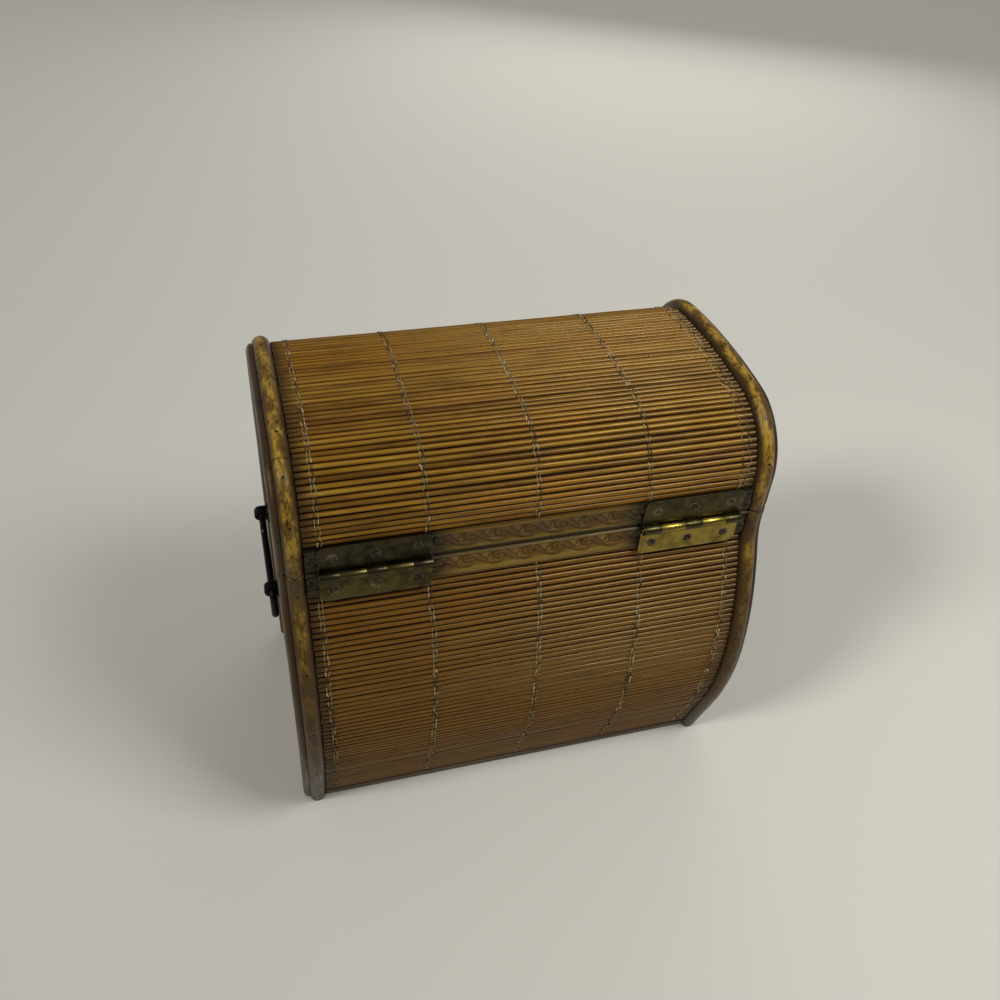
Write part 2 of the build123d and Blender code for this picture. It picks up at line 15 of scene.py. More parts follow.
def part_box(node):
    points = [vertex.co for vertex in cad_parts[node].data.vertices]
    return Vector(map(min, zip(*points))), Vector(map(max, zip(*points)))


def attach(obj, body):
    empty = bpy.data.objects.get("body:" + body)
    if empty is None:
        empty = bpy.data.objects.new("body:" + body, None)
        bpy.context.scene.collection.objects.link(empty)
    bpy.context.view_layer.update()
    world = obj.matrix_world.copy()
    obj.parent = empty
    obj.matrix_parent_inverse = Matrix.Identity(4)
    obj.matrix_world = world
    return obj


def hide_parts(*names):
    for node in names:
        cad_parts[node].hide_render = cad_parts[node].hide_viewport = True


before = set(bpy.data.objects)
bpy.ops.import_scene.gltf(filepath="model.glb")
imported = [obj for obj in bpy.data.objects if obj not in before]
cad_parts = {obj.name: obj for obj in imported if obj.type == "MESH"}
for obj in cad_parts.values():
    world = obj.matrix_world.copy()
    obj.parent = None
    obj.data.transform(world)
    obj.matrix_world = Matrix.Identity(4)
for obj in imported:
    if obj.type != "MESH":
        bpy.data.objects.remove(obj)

log = logging.getLogger("trunk")

MM = 0.001
SEED = 11
PICTURE_SIDE = 1000
WELD_DISTANCE = 0.002 * MM
FLAT_ANGLE = math.radians(1.0)
ROUNDED_ANGLE = math.radians(40.0)
SHARP_ANGLE = math.radians(35.0)

Socket = bpy.types.NodeSocket
Colour = tuple[float, float, float]
Row = tuple[float, float]


# Side outline


class Chain:
    """Line of points in the side view (y, z), read by the length along it."""

    def __init__(self, points: np.ndarray, normals: np.ndarray) -> None:
        """Keeps the points, their outward normals and the length up to each.

        Args:
            points: One row of (y, z) for each point.
            normals: Outward normal at each point.
        """
        steps = np.linalg.norm(np.diff(points, axis=0), axis=1)
        self.lengths = np.concatenate([[0.0], np.cumsum(steps)])
        self.points = points
        self.normals = normals

    @property
    def length(self) -> float:
        """Length of the whole line."""
        return float(self.lengths[-1])

    def at(self, along: np.ndarray) -> tuple[np.ndarray, np.ndarray]:
        """Point and outward normal at a length.

        Args:
            along: Lengths from the start of the line.

        Returns:
            Points and unit normals, one row of (y, z) for each length.
        """
        point = np.stack([np.interp(along, self.lengths, self.points[:, i]) for i in (0, 1)], axis=-1)
        normal = np.stack([np.interp(along, self.lengths, self.normals[:, i]) for i in (0, 1)], axis=-1)
        normal /= np.linalg.norm(normal, axis=-1, keepdims=True)
        return point, normal

    def where(self, height: float) -> float:
        """Length at which the line first reaches a height."""
        return float(np.interp(height, self.points[:, 1], self.lengths))

    def on_front(self) -> "Chain":
        """The same line mirrored to the front."""
        flip = np.array([-1.0, 1.0])
        return Chain(self.points * flip, self.normals * flip)


@dataclass(frozen=True)
class SideProfile:
    """Side outline of the trunk on the face of its matting, as arcs that touch."""

    crown_height: float = 289.0 * MM
    parting_height: float = 222.0 * MM
    parting_gap: float = 0.4 * MM
    base_half_depth: float = 80.5 * MM
    belly_half_depth: float = 106.5 * MM
    belly_height: float = 104.5 * MM
    waist_half_depth: float = 84.3 * MM
    lower_radius: float = 167.0 * MM
    belly_radius: float = 225.0 * MM
    waist_radius: float = 52.0 * MM
    shoulder_radius: float = 43.5 * MM
    crown_radius: float = 417.0 * MM
    step: float = 0.5 * MM

    @property
    def body_top(self) -> float:
        """Height of the body's upper edge."""
        return self.parting_height - self.parting_gap / 2

    @property
    def lid_bottom(self) -> float:
        """Height of the lid's lower edge."""
        return self.parting_height + self.parting_gap / 2

    def _line(self, start: Row, end: Row, normal: Row) -> tuple[np.ndarray, np.ndarray]:
        """Points and normals of a straight run.

        Args:
            start: Its first point.
            end: Its last point.
            normal: Its outward normal.

        Returns:
            Points and normals, one row of (y, z) each.
        """
        count = max(2, int(math.dist(start, end) / self.step))
        points = np.linspace(start, end, count)
        return points, np.tile(np.array(normal), (count, 1))

    def _arc(self, centre: Row, radius: float, start: float, end: float,
             hollow: bool = False) -> tuple[np.ndarray, np.ndarray]:
        """Points and normals of an arc.

        Args:
            centre: Its centre.
            radius: Its radius.
            start: Angle at which it starts.
            end: Angle at which it ends.
            hollow: Whether its normals point to its centre.

        Returns:
            Points and normals, one row of (y, z) each.
        """
        count = max(4, int(radius * abs(end - start) / self.step))
        turn = np.linspace(start, end, count)
        ray = np.stack([np.cos(turn), np.sin(turn)], axis=-1)
        return np.array(centre) + radius * ray, -ray if hollow else ray

    @staticmethod
    def _join(parts: Sequence[tuple[np.ndarray, np.ndarray]]) -> Chain:
        """One line from parts that touch, without their doubled end points.

        Args:
            parts: Points and normals of each part, in order.

        Returns:
            The joined line.
        """
        points = [parts[0][0]] + [p[1:] for p, _ in parts[1:]]
        normals = [parts[0][1]] + [n[1:] for _, n in parts[1:]]
        return Chain(np.concatenate(points), np.concatenate(normals))

    def wall(self, low: float, high: float) -> Chain:
        """The back wall's line.

        Args:
            low: Height at which it starts, near the floor.
            high: Height at which it ends, near the parting line.

        Returns:
            The line from the low end to the high end.
        """
        centre_y = self.belly_half_depth - self.lower_radius
        run = (self.base_half_depth - centre_y, self.belly_height)
        foot = math.atan2(run[1], run[0]) - math.acos(self.lower_radius / math.hypot(*run))
        touch_y = centre_y + self.lower_radius * math.cos(foot)
        touch_z = self.belly_height - self.lower_radius * math.sin(foot)
        reach = self.belly_radius + self.waist_radius
        turn = math.acos(1 - (self.belly_half_depth - self.waist_half_depth) / reach)
        waist_z = self.belly_height + reach * math.sin(turn)
        start = (touch_y - (touch_z - low) * math.tan(foot), low)
        belly = (self.belly_half_depth - self.belly_radius, self.belly_height)
        waist = (self.waist_half_depth + self.waist_radius, waist_z)
        return self._join([
            self._line(start, (touch_y, touch_z), (math.cos(foot), -math.sin(foot))),
            self._arc((centre_y, self.belly_height), self.lower_radius, -foot, 0.0),
            self._arc(belly, self.belly_radius, 0.0, turn),
            self._arc(waist, self.waist_radius, math.pi + turn, math.pi, hollow=True),
            self._line((self.waist_half_depth, waist_z), (self.waist_half_depth, high), (1.0, 0.0)),
        ])

    def lid(self, low: float) -> Chain:
        """The lid's line from its back foot over the crown to its front foot.

        Args:
            low: Height of both feet.

        Returns:
            The line, which runs from the back to the front.
        """
        crown_z = self.crown_height - self.crown_radius
        side = self.waist_half_depth
        shoulder_y = side - self.shoulder_radius
        shoulder_z = crown_z + math.sqrt((self.crown_radius - self.shoulder_radius) ** 2 - shoulder_y**2)
        turn = math.atan2(shoulder_z - crown_z, shoulder_y)
        return self._join([
            self._line((side, low), (side, shoulder_z), (1.0, 0.0)),
            self._arc((shoulder_y, shoulder_z), self.shoulder_radius, 0.0, turn),
            self._arc((0.0, crown_z), self.crown_radius, turn, math.pi - turn),
            self._arc((-shoulder_y, shoulder_z), self.shoulder_radius, math.pi - turn, math.pi),
            self._line((-side, shoulder_z), (-side, low), (-1.0, 0.0)),
        ])


# Meshes


class MeshData:
    """Points, faces and point values of one piece, gathered before its mesh is made."""

    def __init__(self) -> None:
        """Starts empty."""
        self.points: list[np.ndarray] = []
        self.faces: list[tuple[int, ...]] = []
        self.values: dict[str, list[np.ndarray]] = {}
        self.count = 0

    def add(self, points: np.ndarray, faces: Sequence[tuple[int, ...]], **values: np.ndarray) -> None:
        """Adds a part.

        Args:
            points: One row of (x, y, z) for each point.
            faces: Faces as indices into these points.
            **values: One number for each point, by the name of its attribute.
        """
        base = self.count
        self.points.append(np.asarray(points, dtype=float))
        self.faces += [tuple(base + i for i in face) for face in faces]
        for name, numbers in values.items():
            self.values.setdefault(name, []).append(np.asarray(numbers, dtype=float))
        self.count += len(points)

    def build(self, name: str, materials: Sequence[bpy.types.Material],
              smooth_angle: float = 40.0) -> bpy.types.Object:
        """Makes the object.

        Args:
            name: Name of the piece.
            materials: Its materials, the first of which is on every face.
            smooth_angle: Degrees above which an edge is drawn sharp.

        Returns:
            The new object, linked to the scene.
        """
        mesh = bpy.data.meshes.new(name)
        mesh.from_pydata(np.concatenate(self.points).tolist(), [], self.faces)
        for key, parts in self.values.items():
            attribute = mesh.attributes.new(key, "FLOAT", "POINT")
            attribute.data.foreach_set("value", np.concatenate(parts).astype(np.float32))
        mesh.update()
        face_outwards(mesh)
        return make_object(name, mesh, materials, smooth_angle)


def face_outwards(mesh: bpy.types.Mesh) -> None:
    """Turns every closed part's faces outwards.

    Args:
        mesh: Mesh that is changed.
    """
    work = bmesh.new()
    work.from_mesh(mesh)
    bmesh.ops.recalc_face_normals(work, faces=work.faces)
    work.to_mesh(mesh)
    work.free()


def make_object(name: str, mesh: bpy.types.Mesh, materials: Sequence[bpy.types.Material],
                smooth_angle: float) -> bpy.types.Object:
    """Links an object for a mesh, with its materials and its smooth shading.

    Args:
        name: Name of the object.
        mesh: Its mesh.
        materials: Its materials.
        smooth_angle: Degrees above which an edge is drawn sharp.

    Returns:
        The new object.
    """
    for material in materials:
        mesh.materials.append(material)
    mesh.shade_smooth()
    mesh.set_sharp_from_angle(angle=math.radians(smooth_angle))
    thing = bpy.data.objects.new(name, mesh)
    bpy.context.scene.collection.objects.link(thing)
    return thing


def tube_faces(rings: int, sides: int) -> list[tuple[int, ...]]:
    """Faces of rings joined into a tube, with its two end caps.

    Args:
        rings: Number of rings.
        sides: Number of points in each ring.

    Returns:
        Faces as indices into the points, ring after ring.
    """
    faces = []
    for ring in range(rings - 1):
        for side in range(sides):
            a, b = ring * sides + side, ring * sides + (side + 1) % sides
            faces.append((a, b, b + sides, a + sides))
    faces.append(tuple(range(sides)))
    faces.append(tuple((rings - 1) * sides + i for i in reversed(range(sides))))
    return faces


def wave(along: np.ndarray, rng: np.random.Generator, length: float, terms: int = 3) -> np.ndarray:
    """Smooth uneven wave between about -1 and 1.

    Args:
        along: Places at which it is read.
        rng: Source of its phases.
        length: Length of its longest swing.
        terms: Number of swings added up.

    Returns:
        Its value at each place.
    """
    total = np.zeros_like(along)
    for term in range(terms):
        swing = length / (1 + term * rng.uniform(0.7, 1.3))
        total += np.sin(2 * math.pi * along / swing + rng.uniform(0, 2 * math.pi)) / (1 + term)
    return total / sum(1 / (1 + term) for term in range(terms))


def place(thing: bpy.types.Object, body: str, nodes: Sequence[str]) -> bpy.types.Object:
    """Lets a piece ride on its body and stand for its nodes.

    Args:
        thing: The piece.
        body: Body that it moves with.
        nodes: Nodes that it stands for, if any.

    Returns:
        The piece.
    """
    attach(thing, body)
    if nodes:
        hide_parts(*nodes)
    log.info("%s: %d faces on %s", thing.name, len(thing.data.polygons), body)
    return thing


# Shader building


class Tree:
    """Short way to add shader nodes to a tree and join them."""

    def __init__(self, tree: bpy.types.NodeTree) -> None:
        """Keeps the tree."""
        self.tree = tree

    def add(self, kind: str, inputs: Optional[dict] = None, **settings: object) -> bpy.types.Node:
        """Adds a node.

        Args:
            kind: Type of the node.
            inputs: Socket or value for each input, by its name or number.
            **settings: Values of the node's own settings.

        Returns:
            The node.
        """
        node = self.tree.nodes.new(kind)
        for key, value in settings.items():
            setattr(node, key, value)
        for key, value in (inputs or {}).items():
            self.feed(node.inputs[key], value)
        return node

    def feed(self, socket: Socket, value: object) -> None:
        """Links a socket to another, or sets its value.

        Args:
            socket: The input socket.
            value: An output socket, a number, a vector or a colour.
        """
        if isinstance(value, bpy.types.NodeSocket):
            self.tree.links.new(value, socket)
        elif isinstance(value, tuple) and len(value) == 3 and socket.type == "RGBA":
            socket.default_value = (*value, 1.0)
        else:
            socket.default_value = value

    def math(self, operation: str, first: object, second: object = 0.0, clamp: bool = False) -> Socket:
        """Sum, product or the like of two values."""
        node = self.add("ShaderNodeMath", {0: first, 1: second}, operation=operation, use_clamp=clamp)
        return node.outputs[0]

    def remap(self, value: object, low: object, high: object, to_low: float = 0.0,
              to_high: float = 1.0) -> Socket:
        """Value moved smoothly from one range to another, and held at its ends."""
        inputs = {"Value": value, "From Min": low, "From Max": high, "To Min": to_low, "To Max": to_high}
        return self.add("ShaderNodeMapRange", inputs, interpolation_type="SMOOTHSTEP").outputs["Result"]

    def mix(self, factor: object, first: object, second: object) -> Socket:
        """Blend of two colours.

        Args:
            factor: Share of the second colour.
            first: First colour.
            second: Second colour.

        Returns:
            The blended colour.
        """
        node = self.add("ShaderNodeMix", data_type="RGBA")
        for index, value in ((0, factor), (6, first), (7, second)):
            self.feed(node.inputs[index], value)
        return node.outputs[2]

    def fade(self, mask: Socket, share: float, first: object, second: object) -> Socket:
        """Blend of two colours where a mask is high, by no more than a share."""
        return self.mix(self.math("MULTIPLY", mask, share), first, second)

    def blend(self, first: Socket, second: Socket, share: float) -> Socket:
        """Sum of two values, of which the first has the given share."""
        rest = self.math("MULTIPLY", second, 1.0 - share)
        return self.math("ADD", self.math("MULTIPLY", first, share), rest)

    def value(self, name: str) -> Socket:
        """Point value of the mesh."""
        return self.add("ShaderNodeAttribute", attribute_name=name).outputs["Fac"]

    def place_on_object(self) -> Socket:
        """Place of the shaded point in the object's own axes."""
        return self.add("ShaderNodeTexCoord").outputs["Object"]

    def scaled(self, vector: Socket, scale: object) -> Socket:
        """Vector with each of its parts scaled."""
        return self.add("ShaderNodeVectorMath", {0: vector, 1: scale}, operation="MULTIPLY").outputs[0]

    def noise(self, vector: Socket, scale: object, detail: float = 3.0, rough: float = 0.55) -> Socket:
        """Noise between 0 and 1."""
        inputs = {"Vector": vector, "Scale": scale, "Detail": detail, "Roughness": rough}
        return self.add("ShaderNodeTexNoise", inputs).outputs["Fac"]


class Effects:
    """Node groups that several finishes share, each made once."""

    def __init__(self) -> None:
        """Builds every group."""
        self.streaks = self._streaks()
        self.mottle = self._mottle()
        self.wear = self._wear()

    @staticmethod
    def _group(name: str, inputs: dict[str, tuple[str, object]],
               outputs: Sequence[str]) -> tuple[Tree, bpy.types.Node, bpy.types.Node]:
        """Empty group with named sockets.

        Args:
            name: Name of the group.
            inputs: Socket type and usual value of each input, by its name.
            outputs: Names of its outputs.

        Returns:
            Its tree, and the nodes that give its inputs and take its outputs.
        """
        group = bpy.data.node_groups.new(name, "ShaderNodeTree")
        for key, (kind, value) in inputs.items():
            socket = group.interface.new_socket(key, in_out="INPUT", socket_type=kind)
            if value is not None:
                socket.default_value = value
        for key in outputs:
            group.interface.new_socket(key, in_out="OUTPUT", socket_type="NodeSocketFloat")
        tree = Tree(group)
        return tree, tree.add("NodeGroupInput"), tree.add("NodeGroupOutput")

    def _streaks(self) -> bpy.types.NodeTree:
        """Long fibres of split cane or wood along the first axis of the vector.

        Returns:
            The group, which puts out a broad and a fine grain.
        """
        tree, given, made = self._group("fibre_streaks", {
            "Vector": ("NodeSocketVector", None), "Length": ("NodeSocketFloat", 30.0),
            "Fineness": ("NodeSocketFloat", 1500.0)}, ["Broad", "Fine"])
        length, fineness = given.outputs["Length"], given.outputs["Fineness"]
        for name, across in (("Broad", tree.math("MULTIPLY", fineness, 0.3)), ("Fine", fineness)):
            stretch = tree.add("ShaderNodeCombineXYZ", {0: length, 1: across, 2: across}).outputs[0]
            vector = tree.scaled(given.outputs["Vector"], stretch)
            tree.feed(made.inputs[name], tree.noise(vector, 1.0, 4.0, 0.6))
        return tree.tree

    def _mottle(self) -> bpy.types.NodeTree:
        """Soft blotches with a low and a high threshold.

        Returns:
            The group, which puts out a mask.
        """
        tree, given, made = self._group("mottle", {
            "Vector": ("NodeSocketVector", None), "Scale": ("NodeSocketFloat", 60.0),
            "Low": ("NodeSocketFloat", 0.4), "High": ("NodeSocketFloat", 0.65)}, ["Mask"])
        noise = tree.noise(given.outputs["Vector"], given.outputs["Scale"], 5.0, 0.62)
        tree.feed(made.inputs["Mask"], tree.remap(noise, given.outputs["Low"], given.outputs["High"]))
        return tree.tree

    def _wear(self) -> bpy.types.NodeTree:
        """Rubbed edges, broken up by blotches.

        Returns:
            The group, which puts out a mask.
        """
        tree, given, made = self._group("edge_wear", {
            "Vector": ("NodeSocketVector", None), "Radius": ("NodeSocketFloat", 0.4 * MM),
            "Amount": ("NodeSocketFloat", 1.0)}, ["Mask"])
        rounded = tree.add("ShaderNodeBevel", {"Radius": given.outputs["Radius"]}, samples=4)
        flat = tree.add("ShaderNodeNewGeometry")
        normals = {0: rounded.outputs["Normal"], 1: flat.outputs["Normal"]}
        same = tree.add("ShaderNodeVectorMath", normals, operation="DOT_PRODUCT")
        edge = tree.remap(tree.math("SUBTRACT", 1.0, same.outputs["Value"]), 0.01, 0.16)
        blotch = tree.remap(tree.noise(given.outputs["Vector"], 420.0), 0.35, 0.6)
        mask = tree.math("MULTIPLY", tree.math("MULTIPLY", edge, blotch), given.outputs["Amount"], clamp=True)
        tree.feed(made.inputs["Mask"], mask)
        return tree.tree


def group_outputs(tree: Tree, group: bpy.types.NodeTree, **inputs: object) -> bpy.types.NodeOutputs:
    """Places a shared group in a material.

    Args:
        tree: Tree of the material.
        group: The group.
        **inputs: Its values in this material.

    Returns:
        The outputs of the placed group.
    """
    node = tree.add("ShaderNodeGroup", node_tree=group)
    for key, value in inputs.items():
        tree.feed(node.inputs[key], value)
    return node.outputs


@dataclass(frozen=True)
class Blotches:
    """Soft blotches of a finish: how fine, how sharp, how strong and how drawn out they are."""

    fineness: float
    limits: Row
    share: float = 1.0
    stretch: tuple[float, float, float] = (1.0, 1.0, 1.0)

    def mask(self, tree: Tree, effects: Effects, vector: Socket) -> Socket:
        """Where the blotches lie.

        Args:
            tree: Tree of the material.
            effects: The shared node groups.
            vector: Place of the shaded point.

        Returns:
            A mask from 0 to 1.
        """
        low, high = self.limits
        spot = tree.scaled(vector, self.stretch)
        placed = group_outputs(tree, effects.mottle, Vector=spot, Scale=self.fineness, Low=low, High=high)
        return placed["Mask"]

    def over(self, tree: Tree, effects: Effects, vector: Socket, under: object, colour: object) -> Socket:
        """Colour that has the blotches over it, in a colour of their own."""
        return tree.fade(self.mask(tree, effects, vector), self.share, under, colour)


@dataclass(frozen=True)
class Gloss:
    """Plain shine of a finish, the same all over it."""

    coat: float = 0.0
    coat_roughness: float = 0.25
    specular: float = 0.5
    metallic: float = 0.0
    tint: Colour = (1.0, 1.0, 1.0)


def new_material(name: str) -> tuple[bpy.types.Material, Tree, bpy.types.Node]:
    """Empty material with its Principled BSDF.

    Args:
        name: Name of the material.

    Returns:
        The material, its tree and its shader.
    """
    material = bpy.data.materials.new(name)
    material.use_nodes = True
    tree = Tree(material.node_tree)
    shader = material.node_tree.nodes["Principled BSDF"]
    return material, tree, shader


def set_gloss(shader: bpy.types.Node, gloss: Gloss) -> None:
    """Sets the plain shine on the shader's own sockets.

    Args:
        shader: Principled BSDF of the material.
        gloss: Its shine.
    """
    shader.inputs["Coat Weight"].default_value = gloss.coat
    shader.inputs["Coat Roughness"].default_value = gloss.coat_roughness
    shader.inputs["Specular IOR Level"].default_value = gloss.specular
    shader.inputs["Metallic"].default_value = gloss.metallic
    shader.inputs["Specular Tint"].default_value = (*gloss.tint, 1.0)


def set_bump(tree: Tree, shader: bpy.types.Node, height: Socket, strength: float, distance: float) -> None:
    """Feeds a height through a Bump node into the shader's normal."""
    bump = tree.add("ShaderNodeBump", {"Height": height, "Strength": strength, "Distance": distance})
    tree.feed(shader.inputs["Normal"], bump.outputs["Normal"])


# Finishes


@dataclass(frozen=True)
class ReedFinish:
    """Varnished split reed: honey to red-brown from reed to reed, with painted shade in the gaps, on the
    reeds' flanks, beside the poles and lower down the sides.
    """

    name: str = "split_reed"
    honey: Colour = (0.250, 0.128, 0.012)
    pale: Colour = (0.37, 0.215, 0.030)
    orange: Colour = (0.28, 0.105, 0.005)
    brown: Colour = (0.080, 0.032, 0.004)
    # Painted shade: the colour of the gaps between the reeds.
    gap: Colour = (0.032, 0.014, 0.004)
    # Painted shade: the colour of the reeds beside the poles, where they end.
    end: Colour = (0.034, 0.021, 0.010)
    wall_shade: float = 0.66
    shade_heights: Row = (262.0 * MM, 205.0 * MM)
    axis_along: int = 0
    pole_shade_start: float = 124.0 * MM
    pole_shade_stop: float = 133.5 * MM
    grain_depth: float = 0.2 * MM
    fibre_length: float = 22.0
    fibre_fineness: float = 1700.0
    tone_shift: float = 7.0
    patch_scale: tuple[float, float, float] = (20.0, 2.0, 9.0)
    zones: Blotches = Blotches(21.0, (0.44, 0.64), 0.6, (0.45, 1.0, 1.0))
    stains: Blotches = Blotches(52.0, (0.50, 0.68), 0.4, (0.5, 1.0, 1.0))
    gloss: Gloss = Gloss(coat=0.06, coat_roughness=0.24, specular=0.48, tint=(1.0, 0.72, 0.30))

    def build(self, effects: Effects) -> bpy.types.Material:
        """Makes the material.

        Args:
            effects: The shared node groups.

        Returns:
            The new material.
        """
        material, tree, shader = new_material(self.name)
        spot = tree.place_on_object()
        parts = tree.add("ShaderNodeSeparateXYZ", {0: spot}).outputs
        along = parts[self.axis_along]
        other = parts[1 - self.axis_along]
        turned = tree.add("ShaderNodeCombineXYZ", {0: along, 1: other, 2: parts[2]}).outputs[0]
        tone = tree.value("tone")
        crest = tree.value("crest")
        shift = tree.math("MULTIPLY", tone, self.tone_shift)
        shifted = tree.add("ShaderNodeCombineXYZ", {0: along, 1: shift, 2: parts[2]})
        fibres = group_outputs(tree, effects.streaks, Vector=turned, Length=self.fibre_length,
                               Fineness=self.fibre_fineness)
        patches = tree.noise(tree.scaled(shifted.outputs[0], self.patch_scale), 1.0, 3.0)
        depth = tree.math("ADD", tree.math("MULTIPLY", tone, 0.45), tree.math("MULTIPLY", patches, 0.72))
        colour = tree.mix(tree.remap(depth, 0.34, 0.66), self.brown, self.honey)
        colour = tree.mix(tree.remap(depth, 0.66, 0.90, 0.0, 0.8), colour, self.pale)
        colour = self.zones.over(tree, effects, spot, colour, self.orange)
        lines = tree.remap(fibres["Fine"], 0.42, 0.66, 0.0, 0.4)
        colour = tree.mix(lines, colour, self.brown)
        colour = self.stains.over(tree, effects, spot, colour, self.brown)
        # Painted shade: the reeds darken to brown lower down the sides.
        low = tree.remap(parts[2], *self.shade_heights, 0.0, self.wall_shade)
        colour = tree.mix(low, colour, self.brown)
        # Painted shade: the reeds darken raggedly over their last stretch beside the poles.
        edge = tree.remap(tree.math("ABSOLUTE", along), self.pole_shade_start, self.pole_shade_stop)
        ragged_pole_shade = tree.math("MULTIPLY", edge, tree.remap(fibres["Broad"], 0.30, 0.60, 0.65, 1.0))
        colour = tree.mix(ragged_pole_shade, colour, self.end)
        # Painted shade: the reeds darken to brown down their flanks, and to the gap colour near their feet.
        colour = tree.mix(tree.remap(crest, 0.97, 0.82, 0.0, 0.55), colour, self.brown)
        colour = tree.mix(tree.remap(crest, 0.90, 0.45), colour, self.gap)
        tree.feed(shader.inputs["Base Color"], colour)
        tree.feed(shader.inputs["Roughness"], tree.remap(fibres["Broad"], 0.3, 0.7, 0.22, 0.38))
        set_bump(tree, shader, fibres["Fine"], 0.16, self.grain_depth)
        set_gloss(shader, self.gloss)
        return material


@dataclass(frozen=True)
class PoleFinish:
    """Scorched rattan pole: a mottled gold crest between dark edges, with scorch marks and knots, and painted
    shade towards its lower part.
    """

    name: str = "rattan_pole"
    gold: Colour = (0.330, 0.200, 0.026)
    brown: Colour = (0.050, 0.020, 0.004)
    edge: Colour = (0.036, 0.020, 0.008)
    scorch: Colour = (0.006, 0.004, 0.003)
    # Painted shade: the colour the pole darkens to lower down.
    low: Colour = (0.026, 0.011, 0.003)
    foot: Colour = (0.036, 0.032, 0.019)
    gold_width: float = 0.62
    half_width: float = 5.5 * MM
    parting_height: float = 214.0 * MM
    parting_reach: Row = (26.0 * MM, 8.0 * MM)
    low_shade_heights: Row = (235.0 * MM, 120.0 * MM)
    foot_heights: Row = (60.0 * MM, 12.0 * MM)
    pit_depth: float = 0.3 * MM
    fibre_length: float = 34.0
    fibre_fineness: float = 2200.0
    patches: Blotches = Blotches(58.0, (0.42, 0.56), 0.8, (1.0, 2.2, 1.0))
    specks: Blotches = Blotches(520.0, (0.50, 0.64), 0.8, (0.5, 1.3, 1.0))
    marks: Blotches = Blotches(210.0, (0.57, 0.64), 0.85, (1.0, 3.0, 1.0))
    gloss: Gloss = Gloss(coat=0.03, coat_roughness=0.22, specular=0.34, tint=(1.0, 0.78, 0.42))

    def build(self, effects: Effects) -> bpy.types.Material:
        """Makes the material.

        Args:
            effects: The shared node groups.

        Returns:
            The new material.
        """
        material, tree, shader = new_material(self.name)
        across, along, knot = (tree.value(key) for key in ("across", "along", "knot"))
        spot = tree.place_on_object()
        width = tree.math("MULTIPLY", across, self.half_width)
        line = tree.add("ShaderNodeCombineXYZ", {0: along, 1: width, 2: 0.0}).outputs[0]
        fibres = group_outputs(tree, effects.streaks, Vector=line, Length=self.fibre_length,
                               Fineness=self.fibre_fineness)
        wander = tree.math("MULTIPLY", tree.math("SUBTRACT", fibres["Broad"], 0.5), 0.9)
        side = tree.math("ABSOLUTE", tree.math("ADD", across, tree.math("MULTIPLY", wander, 0.6)))
        colour = self.patches.over(tree, effects, line, self.gold, self.brown)
        colour = self.specks.over(tree, effects, line, colour, self.brown)
        dark = tree.remap(side, self.gold_width - 0.30, self.gold_width + 0.30)
        colour = tree.mix(dark, colour, self.edge)
        marks = self.marks.mask(tree, effects, line)
        colour = tree.fade(marks, self.marks.share, colour, self.scorch)
        colour = tree.mix(tree.remap(fibres["Fine"], 0.5, 0.75, 0.0, 0.45), colour, self.scorch)
        height = tree.add("ShaderNodeSeparateXYZ", {0: spot}).outputs[2]
        off_parting = tree.math("ABSOLUTE", tree.math("SUBTRACT", height, self.parting_height))
        near_parting = tree.remap(off_parting, *self.parting_reach)
        colour = tree.fade(near_parting, 0.8, colour, self.edge)
        # Painted shade: the pole darkens towards its lower part, away from the top light.
        low = tree.remap(tree.math("ADD", height, tree.math("MULTIPLY", wander, 0.03)), *self.low_shade_heights)
        colour = tree.fade(low, 0.85, colour, self.low)
        uneven = tree.math("ADD", height, tree.math("MULTIPLY", wander, 0.02))
        near_floor = tree.remap(uneven, *self.foot_heights)
        colour = tree.fade(near_floor, 0.75, colour, self.foot)
        colour = tree.fade(knot, 0.7, colour, self.scorch)
        tree.feed(shader.inputs["Base Color"], colour)
        tree.feed(shader.inputs["Roughness"], tree.remap(fibres["Broad"], 0.3, 0.7, 0.26, 0.48))
        relief = tree.math("SUBTRACT", fibres["Fine"], tree.math("MULTIPLY", marks, 0.6))
        set_bump(tree, shader, relief, 0.4, self.pit_depth)
        set_gloss(shader, self.gloss)
        return material


